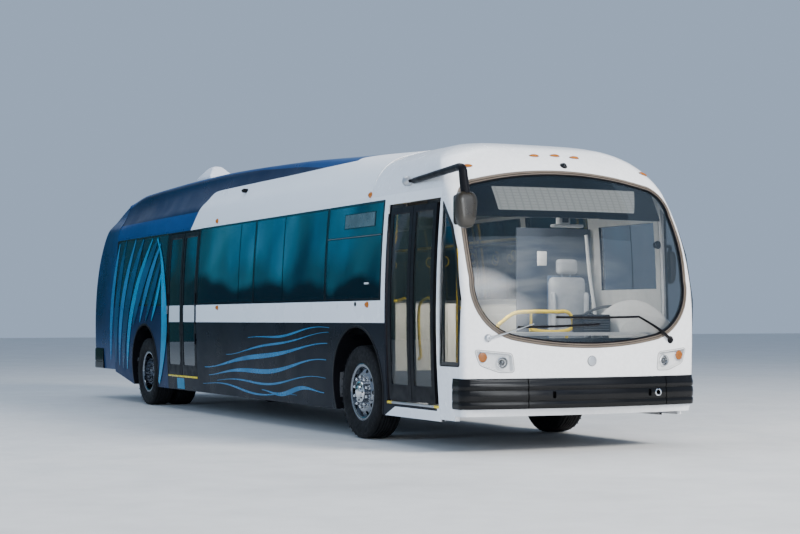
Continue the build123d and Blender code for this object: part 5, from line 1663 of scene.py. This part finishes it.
def add_roof_unit():
    """The hood over the gear on the roof, smooth and flat-topped."""
    form = Form("roof_hood", sharp=35, replaces=["roof_unit"], slot="unit_white")
    levels_of_hood = [
        # height, places of both ends, half width
        (3.14, -8.44, -7.74, 0.205), (3.37, -8.415, -7.765, 0.198), (3.395, -8.405, -7.775, 0.194),
        (3.41, -8.385, -7.79, 0.188), (3.545, -8.20, -7.965, 0.085), (3.560, -8.17, -7.99, 0.06),
        (3.567, -8.13, -8.02, 0.035), (3.568, -8.10, -8.05, 0.01),
    ]
    rows = [[(x, y, z) for x, y in rounded(rect(at(p0), at(p1), -half, half), min(0.03, half * 0.6), 4)]
            for z, p0, p1, half in levels_of_hood]
    form.grid(rows, "unit", ring=True)
    form.caps("unit", rows[0], rows[-1])
    form.done()


# Cab and saloon
BOX_BACK, BOX_FRONT = at(-0.66), at(0.630)
BOX_LOW, BOX_TOP = 0.40, 1.40
BOX_INNER, BOX_OUTER = 0.54, 1.235
SHELF_Z = 1.085
SHELF_Y = (-0.99, 1.13)
DRIVER_Y = 0.79
RAIL_Y, RAIL_Z, RAIL_R = 0.43, 2.08, 0.016
CEILING_Z = 2.44


def add_wheel_boxes():
    """Pale boxes over the front wheels, as panels with a raised field, and a dark foot ahead."""
    form = Form("wheel_boxes", sharp=35)
    for side in SIDES:
        for lo, hi in (
            ((BOX_FRONT - 0.02, BOX_INNER, BOX_LOW), (BOX_FRONT, BOX_OUTER, BOX_TOP)),
            ((BOX_BACK, BOX_INNER, BOX_LOW), (BOX_BACK + 0.02, BOX_OUTER, BOX_TOP)),
            ((BOX_BACK, BOX_INNER, BOX_LOW), (BOX_FRONT, BOX_INNER + 0.02, BOX_TOP)),
            ((BOX_BACK, BOX_INNER, BOX_TOP - 0.02), (BOX_FRONT, BOX_OUTER, BOX_TOP)),
        ):
            form.side_box(side, lo, hi, "cream", 0.006)
        form.side_box(side, (BOX_BACK + 0.05, BOX_INNER - 0.004, 0.50),
                      (BOX_FRONT - 0.05, BOX_INNER + 0.016, 1.30), "cream", 0.008)
        form.side_box(side, (BOX_FRONT - 0.01, BOX_INNER + 0.02, BOX_LOW),
                      (BOX_FRONT + 0.002, BOX_OUTER - 0.02, 0.72), "grey", 0.001)
    form.box((BOX_FRONT - 0.03, -BOX_INNER - 0.004, BOX_LOW), (BOX_FRONT, -0.445, BOX_TOP), "cream", 0.006)
    form.done()


def add_dash(form):
    """The shelf under the screen with its vents, the instrument hood and the grille block."""
    deck = [(at(1.93), SHELF_Y[0])] + [(NOSE.x(y, SHELF_Z) - 0.075, y) for y in steps(*SHELF_Y, 0.15)]
    deck.append((at(1.93), SHELF_Y[1]))
    form.plate(deck, lambda a, b, d: (a, b, SHELF_Z - d), "pale", 0.03)
    form.box((at(1.95), SHELF_Y[0], 0.42), (at(2.02), SHELF_Y[1], SHELF_Z - 0.03), "dash_dark", 0.01)
    for y in (-0.72, -0.36, 0.02, 0.58):
        form.box((at(2.10), y, SHELF_Z), (at(2.14), y + 0.24, SHELF_Z + 0.006), "black", 0.003)
    rows = []
    for t in (i / 14 for i in range(15)):
        grow = sin(pi * (0.10 + 0.80 * t)) ** 0.55
        rows.append([(at(1.66) + 0.56 * t, 0.83 - (0.30 + 0.035 * grow) * cos(a),
                      SHELF_Z + 0.345 * grow * sin(a) ** 0.85) for a in (pi * k / 28 for k in range(29))])
    form.grid(rows, "pale")
    form.caps("pale", rows[-1])
    form.caps("dash_dark", rows[0])
    x = at(2.0)
    form.box((x - 0.10, 0.16, SHELF_Z), (x + 0.10, 0.48, 1.285), "black", 0.015)
    for k in range(7):
        z = 1.11 + 0.024 * k
        form.box((x + 0.095, 0.17, z), (x + 0.112, 0.47, z + 0.010), "dash_dark", 0.004)


def add_steering(form):
    """The steering wheel on its column, and two pedals."""
    hub, face = Vector((at(1.40), 0.80, 1.25)), Vector((-0.52, 0, 0.85)).normalized()
    across_wheel = face.cross(Vector((0, 1, 0)))

    def spot(a, r):
        """A point in the plane of the wheel."""
        return hub + Vector((0, r * cos(a), 0)) + across_wheel * (r * sin(a))

    form.tube([spot(a, 0.225) for a in turns(40)], 0.015, "dash_dark", 10, loop=True)
    for a in (pi / 2, pi * 7 / 6, pi * 11 / 6):
        form.tube([hub, spot(a, 0.22)], 0.014, "dash_dark", 8, flat=0.6)
    form.lathe([(-0.03, 0.07), (0.0, 0.075), (0.014, 0.055), (0.018, 0.0)], hub, "dash_dark", 28, face)
    form.tube([hub - face * 0.02, (at(1.58), 0.80, 0.95), (at(1.66), 0.80, 0.60)], 0.032, "dash_dark", 12)
    lean_back = Matrix.Rotation(-0.5, 3, "Y")
    for y in (0.72, 0.90):
        form.box((at(1.70), y, 0.44), (at(1.76), y + 0.09, 0.60), "black", 0.01, lean_back)


def add_cab():
    """Dash and steering, the sign's display, and the unit and lever that hang behind the screen."""
    form = Form("cab_fittings", sharp=35, replaces=["dashboard"], slot="dash_plastic")
    add_dash(form)
    add_steering(form)
    form.done()

    sign = [(-0.780, 2.501), (0.844, 2.504), (0.738, 2.273), (-0.779, 2.269)]
    form = Form("sign_display", sharp=40)
    cuts = across(steps(-0.7, 0.7, 0.1)) + [((0, z), (0, 1)) for z in (2.33, 2.39, 2.45)]
    form.plate(rounded(sign, 0.012, 3), on(NOSE, -0.047), "sign", None, cuts)
    form.done()

    form = Form("cab_overhead", sharp=35)
    x = at(1.86)
    form.box((x - 0.05, -0.03, 2.135), (x + 0.05, 0.30, 2.165), "pale", 0.012)
    form.box((x - 0.045, 0.03, 2.165), (x + 0.045, 0.15, 2.235), "pale", 0.012)
    form.box((x + 0.04, 0.055, 2.18), (x + 0.05, 0.125, 2.225), "black", 0.004)
    form.tube([(x - 0.02, 0.09, 2.23), (x - 0.05, 0.09, 2.40)], 0.012, "pale", 8)
    form.box((at(0.75), 0.45, 1.80), (at(0.77), 0.56, 1.95), "pale", 0.006)
    form.tube([(at(1.02), 0.885, 2.118), (at(1.0), 0.94, 1.70), (at(0.98), 1.028, 1.23)], 0.018, "pale", 10)
    form.done()


def add_strap(form, x, y, z):
    """A grab strap hanging from a rail."""
    drop = 0.17
    form.tube([(x, y, z + 0.02), (x, y, z - drop + 0.05)], 0.011, "black", 8, flat=0.4)
    loop = [(x, y + 0.045 * cos(a), z - drop + 0.055 * sin(a)) for a in turns(18)]
    form.tube(loop, 0.0075, "yellow", 8, loop=True)


def add_rails():
    """Yellow modesty rail at the front, and the saloon's stanchions and ceiling rails."""
    form = Form("hand_rails", sharp=35, replaces=["grab_rails"], slot="rail_yellow")
    x = at(1.61)
    loop = [(-0.50, 1.18), (-0.33, 1.29), (-0.14, 1.312), (0.15, 1.312), (0.29, 1.308), (0.352, 1.23),
            (0.33, 1.145), (0.20, 1.115), (0.0, 1.118), (-0.14, 1.135)]
    form.tube(spline([(x, y, z) for y, z in loop], 6), 0.019, "yellow", 12)
    form.tube([(x, -0.13, 1.305), (x, -0.13, 1.14)], 0.013, "yellow", 10)
    for y, top in ((-0.50, 1.19), (0.28, 1.13)):
        form.tube([(x, y, FLOOR_Z), (x, y, top)], RAIL_R, "yellow", 12)
    for side in SIDES:
        y = side * RAIL_Y
        ends = [[(at(p), y, z) for p, z in end] for end in (
            [(-6.30, CEILING_Z), (-6.26, 2.12), (-6.15, RAIL_Z)],
            [(-0.95, RAIL_Z), (-0.84, 2.12), (-0.80, CEILING_Z)])]
        form.tube(spline(ends[0], 5) + spline(ends[1], 5), RAIL_R, "yellow", 12)
        for place in (-6.20, -5.00, -3.60, -2.20, -1.00):
            x, foot = at(place), 0.90 if place < -6.0 else FLOOR_Z
            form.tube([(x, y, foot), (x, y, CEILING_Z)], RAIL_R, "yellow", 12)
            form.lathe([(-0.03, 0.017), (-0.026, 0.025), (0.026, 0.025), (0.03, 0.017)], (x, y, RAIL_Z),
                       "dash_dark", 16, (0, 0, 1))
            form.lathe([(0, 0.04), (0.006, 0.038), (0.01, 0.017)], (x, y, foot), "dash_dark", 20, (0, 0, 1))
        for place in (-5.7, -5.3, -4.6, -4.1, -3.1, -2.7, -1.7, -1.3):
            add_strap(form, at(place), y, RAIL_Z)
    form.done()


def cushion(form, lo, hi, mat, r=0.045, crown=0.012):
    """A plump block: rounded edges and a slight crown on its fore and aft faces."""
    bm = bmesh.new()
    bmesh.ops.create_cube(bm, size=2)
    bmesh.ops.subdivide_edges(bm, edges=bm.edges[:], cuts=9, use_grid_fill=True)
    size = [(b - a) / 2 for a, b in zip(lo, hi)]
    mid = Vector([(a + b) / 2 for a, b in zip(lo, hi)])
    for v in bm.verts:
        p = v.co
        core = Vector([max(-s + r, min(s - r, c * s)) for c, s in zip(p, size)])
        off = Vector([c * s for c, s in zip(p, size)]) - core
        if off.length > 1e-6:
            off = off.normalized() * min(r, off.length * 1.6)
        q = core + off
        if abs(p.x) > 0.99:
            q.x *= 1 + crown * (1 - max(abs(p.y), abs(p.z)) ** 2) / max(size[0], 0.02)
        v.co = mid + q
    form.take(bm, mat)


def add_driver_seat():
    """Padded seat on a pedestal, with a headrest."""
    y = DRIVER_Y
    base = Form("driver_seat_frame", sharp=35, replaces=["driver_seat"], slot="seat_cloth")
    base.box((at(0.80), y - 0.15, FLOOR_Z), (at(1.16), y + 0.15, 0.80), "dash_dark", 0.03)
    base.box((at(0.76), y - 0.20, 0.80), (at(1.20), y + 0.20, 0.885), "dash_dark", 0.03)
    base.box((at(0.715), y - 0.20, 1.0), (at(0.745), y + 0.20, 1.70), "seat_shell", 0.02)
    for dy in (-0.05, 0.05):
        base.tube([(at(0.77), y + dy, 1.62), (at(0.775), y + dy, 1.84)], 0.007, "chrome", 8)
    base.done()
    pads = Form("driver_cushions", sharp=60)
    for (p0, p1), dy, half, (z0, z1), r, crown in (
        ((0.76, 1.235), 0, 0.235, (0.885, 1.00), 0.045, 0.012),
        ((0.735, 0.845), 0, 0.215, (1.0, 1.68), 0.05, 0.02),
        ((0.745, 0.83), 0, 0.125, (1.71, 1.87), 0.04, 0.015),
        ((0.80, 0.88), -0.20, 0.03, (1.04, 1.52), 0.03, 0.01),
        ((0.80, 0.88), 0.20, 0.03, (1.04, 1.52), 0.03, 0.01),
    ):
        cushion(pads, (at(p0), y + dy - half, z0), (at(p1), y + dy + half, z1), "cloth", r, crown)
    pads.done()


BENCHES = [
    # place, side, floor height, rows
    (-1.25, CURB, FLOOR_Z, 5),
    (-1.25, STREET, FLOOR_Z, 7),
    (-8.60, CURB, 0.90, 2),
    (-8.60, STREET, 0.90, 2),
]


def add_bench_pads():
    """Pads on the passenger benches and rounded grab handles on their backs."""
    pads = Form("bench_pads", sharp=60)
    grips = Form("bench_grips", sharp=35)
    grip = [(0.56, 0.50), (0.60, 0.555), (0.80, 0.565), (1.05, 0.555), (1.11, 0.50)]
    for place, side, floor_z, count in BENCHES:
        pitch = -0.80 if floor_z > FLOOR_Z else -0.78
        for k in range(count):
            x, top = at(place + pitch * k), floor_z + 0.43
            for y in (0.69, 1.01):
                lo, hi = sorted((side * (y - 0.148), side * (y + 0.148)))
                cushion(pads, (x + 0.07, lo, top + 0.001), (x + 0.41, hi, top + 0.042),
                        "moquette", 0.02, 0.0)
                cushion(pads, (x + 0.061, lo, top + 0.06), (x + 0.098, hi, top + 0.50),
                        "moquette", 0.018, 0.008)
            grips.tube(spline([(x + 0.03, side * y, top + z) for y, z in grip], 5), 0.012, "yellow", 8)
    grips.done()
    pads.done()


# Studio: lamps as name, place, aim, size, power and tint
FLOOR_REACH = 90
SKY_TINT, SKY_POWER = (0.57, 0.74, 1.0, 1), 0.62
LAMPS = [
    ("saloon", (-1, 0, 2.40), (-1, 0, 0), 2.2, 22, (1.0, 0.98, 0.94)),
    ("cab", (5.2, 0, 2.40), (5.2, 0, 0), 0.9, 26, (1.0, 0.98, 0.94)),
    ("entry", (5.45, -0.85, 2.2), (4.6, -0.95, 0.8), 0.5, 75, (1.0, 0.97, 0.90)),
    ("key", (24, 9, 15), (5, 0, 1.2), 7, 11500, (1.0, 0.965, 0.91)),
    ("curb_fill", (2, -24, 9), (0, -1, 1.4), 12, 2000, (0.42, 0.68, 1.0)),
    ("front_fill", (22, -10, 5), (6, -1, 1.5), 7, 1500, (0.96, 0.98, 1.0)),
    ("top", (-2, -2, 17), (0, 0, 2), 14, 1500, (0.9, 0.95, 1.0)),
]


def facing(place, aim, axis):
    """The turn that points one axis of an object from its place to an aim."""
    return (Vector(aim) - Vector(place)).to_track_quat(axis, "Y").to_euler()


def sheet(name, w, h, material):
    """A flat board on the stage."""
    mesh = bpy.data.meshes.new(name)
    mesh.from_pydata([(*p, 0) for p in rect(-w, w, -h, h)], [], [[0, 1, 2, 3]])
    board = add_object(name, mesh)
    mesh.materials.append(material)
    return board


def card(shader, centre, aim, w, h):
    """A board beside the set that shows in gloss and glass alone, as a studio reflector does."""
    board = sheet(shader.name, w / 2, h / 2, shader)
    board.location = centre
    board.rotation_euler = facing(centre, aim, "Z")
    board.visible_camera = board.visible_diffuse = board.visible_shadow = False


def glow(name, low, high, scale=0.2, stretch=(1, 1, 1), strength=1.0, reach=None, skyline=None, dim=None):
    """Two glowing tones that drift, faded to the rim, below a skyline or to one end if asked."""
    s = Shader(name)
    tone = s.mix(s.drift(scale, 3, stretch), low, high)
    if reach:
        off = s.plus(s.times(s.x, s.x), s.times(s.y, s.y))
        s.put(alpha=s.spread(off, 1, 0, reach * reach * 0.1, reach * reach))
    if skyline is not None:
        height = s.plus(s.y, s.times(s.noise(0.8, 2, (1, 0.08, 1)), 3.4))
        tone = s.mix(s.spread(height, 0, 1, skyline, skyline + 0.5), shade(low, 0.25), tone)
    if dim:
        tone = s.mix(s.spread(s.x, 0, 1, *dim), tone, (0.012, 0.055, 0.060))
    s.put(base_color=(0.0, 0.0, 0.0), emission_color=tone, emission_strength=strength)
    return s.mat


def add_stage():
    """A pale floor, a pale sky, large soft lamps and the boards that show in gloss."""
    sheet("studio_floor", FLOOR_REACH, FLOOR_REACH,
          finish("studio_floor", (0.62, 0.62, 0.615), 0.62, vary=0.03, scale=0.4))
    world = bpy.data.worlds.new("studio")
    bpy.context.scene.world = world
    world.use_nodes = True
    sky = world.node_tree.nodes["Background"]
    sky.inputs[0].default_value = SKY_TINT
    sky.inputs[1].default_value = SKY_POWER
    for name, place, aim, size, power, tint in LAMPS:
        data = bpy.data.lights.new(name, "AREA")
        data.size = size
        data.energy = power
        data.color = tint
        lamp = add_object(name, data)
        lamp.location = place
        lamp.visible_glossy = name == "top"
        lamp.rotation_euler = facing(place, aim, "-Z")
    card(glow("side_card", (0.006, 0.09, 0.17), (0.06, 0.36, 0.55), 0.5, (2.2, 0.25, 1), 1.35,
              skyline=0.1, dim=(-2.3, -1.0)), (-28.2, -8.4, 4.4), (-4.2, 2.1, 3.0), 15, 8.6)
    card(glow("door_card", (0.020, 0.032, 0.034), (0.07, 0.10, 0.10), 0.4, (2, 0.3, 1), 3.6),
         (-22.6, -21.2, 3.4), (1.4, -10.7, 2.0), 12.5, 6.6)
    card(glow("sky_card", (0.22, 0.34, 0.60), (1.5, 1.6, 1.7), 0.13, (1, 2.2, 1), 1.8, reach=14),
         (31.1, 8.5, 11.2), (6.4, -0.5, 1.6), 28, 28)
    card(glow("highlight_card", (1.0, 1.0, 1.0), (0.85, 0.92, 1.0), 0.5, (1, 1, 1), 12, reach=2.5),
         (20.6, 0.95, 5.9), (6.3, -1.1, 1.55), 5.0, 5.0)
    card(glow("zenith_card", (0.02, 0.03, 0.07), (0.06, 0.09, 0.18), 0.2, (1, 1, 1), 0.8),
         (15.5, 1.0, 20.0), (6.3, -0.5, 2.8), 34, 15)
    card(glow("bumper_card", (0.95, 0.98, 1.0), (0.85, 0.88, 0.92), 0.5, (1, 1, 1), 8, reach=3.0),
         (26.0, 3.4, 3.0), (6.5, -0.8, 0.6), 6, 6)


add_camera()
MATERIALS = make_materials()
dress_nodes()
for add in (
    add_front_shell, add_rear_shells, add_fairing, add_windscreen, add_front_bumper, add_rear_bumper,
    add_lamps, add_wheels, add_arch_lips, add_mirrors, add_wipers, add_skin_fittings, add_side_glazing,
    add_livery_lines, add_door_fittings, add_roof_unit, add_wheel_boxes, add_cab, add_rails,
    add_driver_seat, add_bench_pads, add_stage,
):
    add()
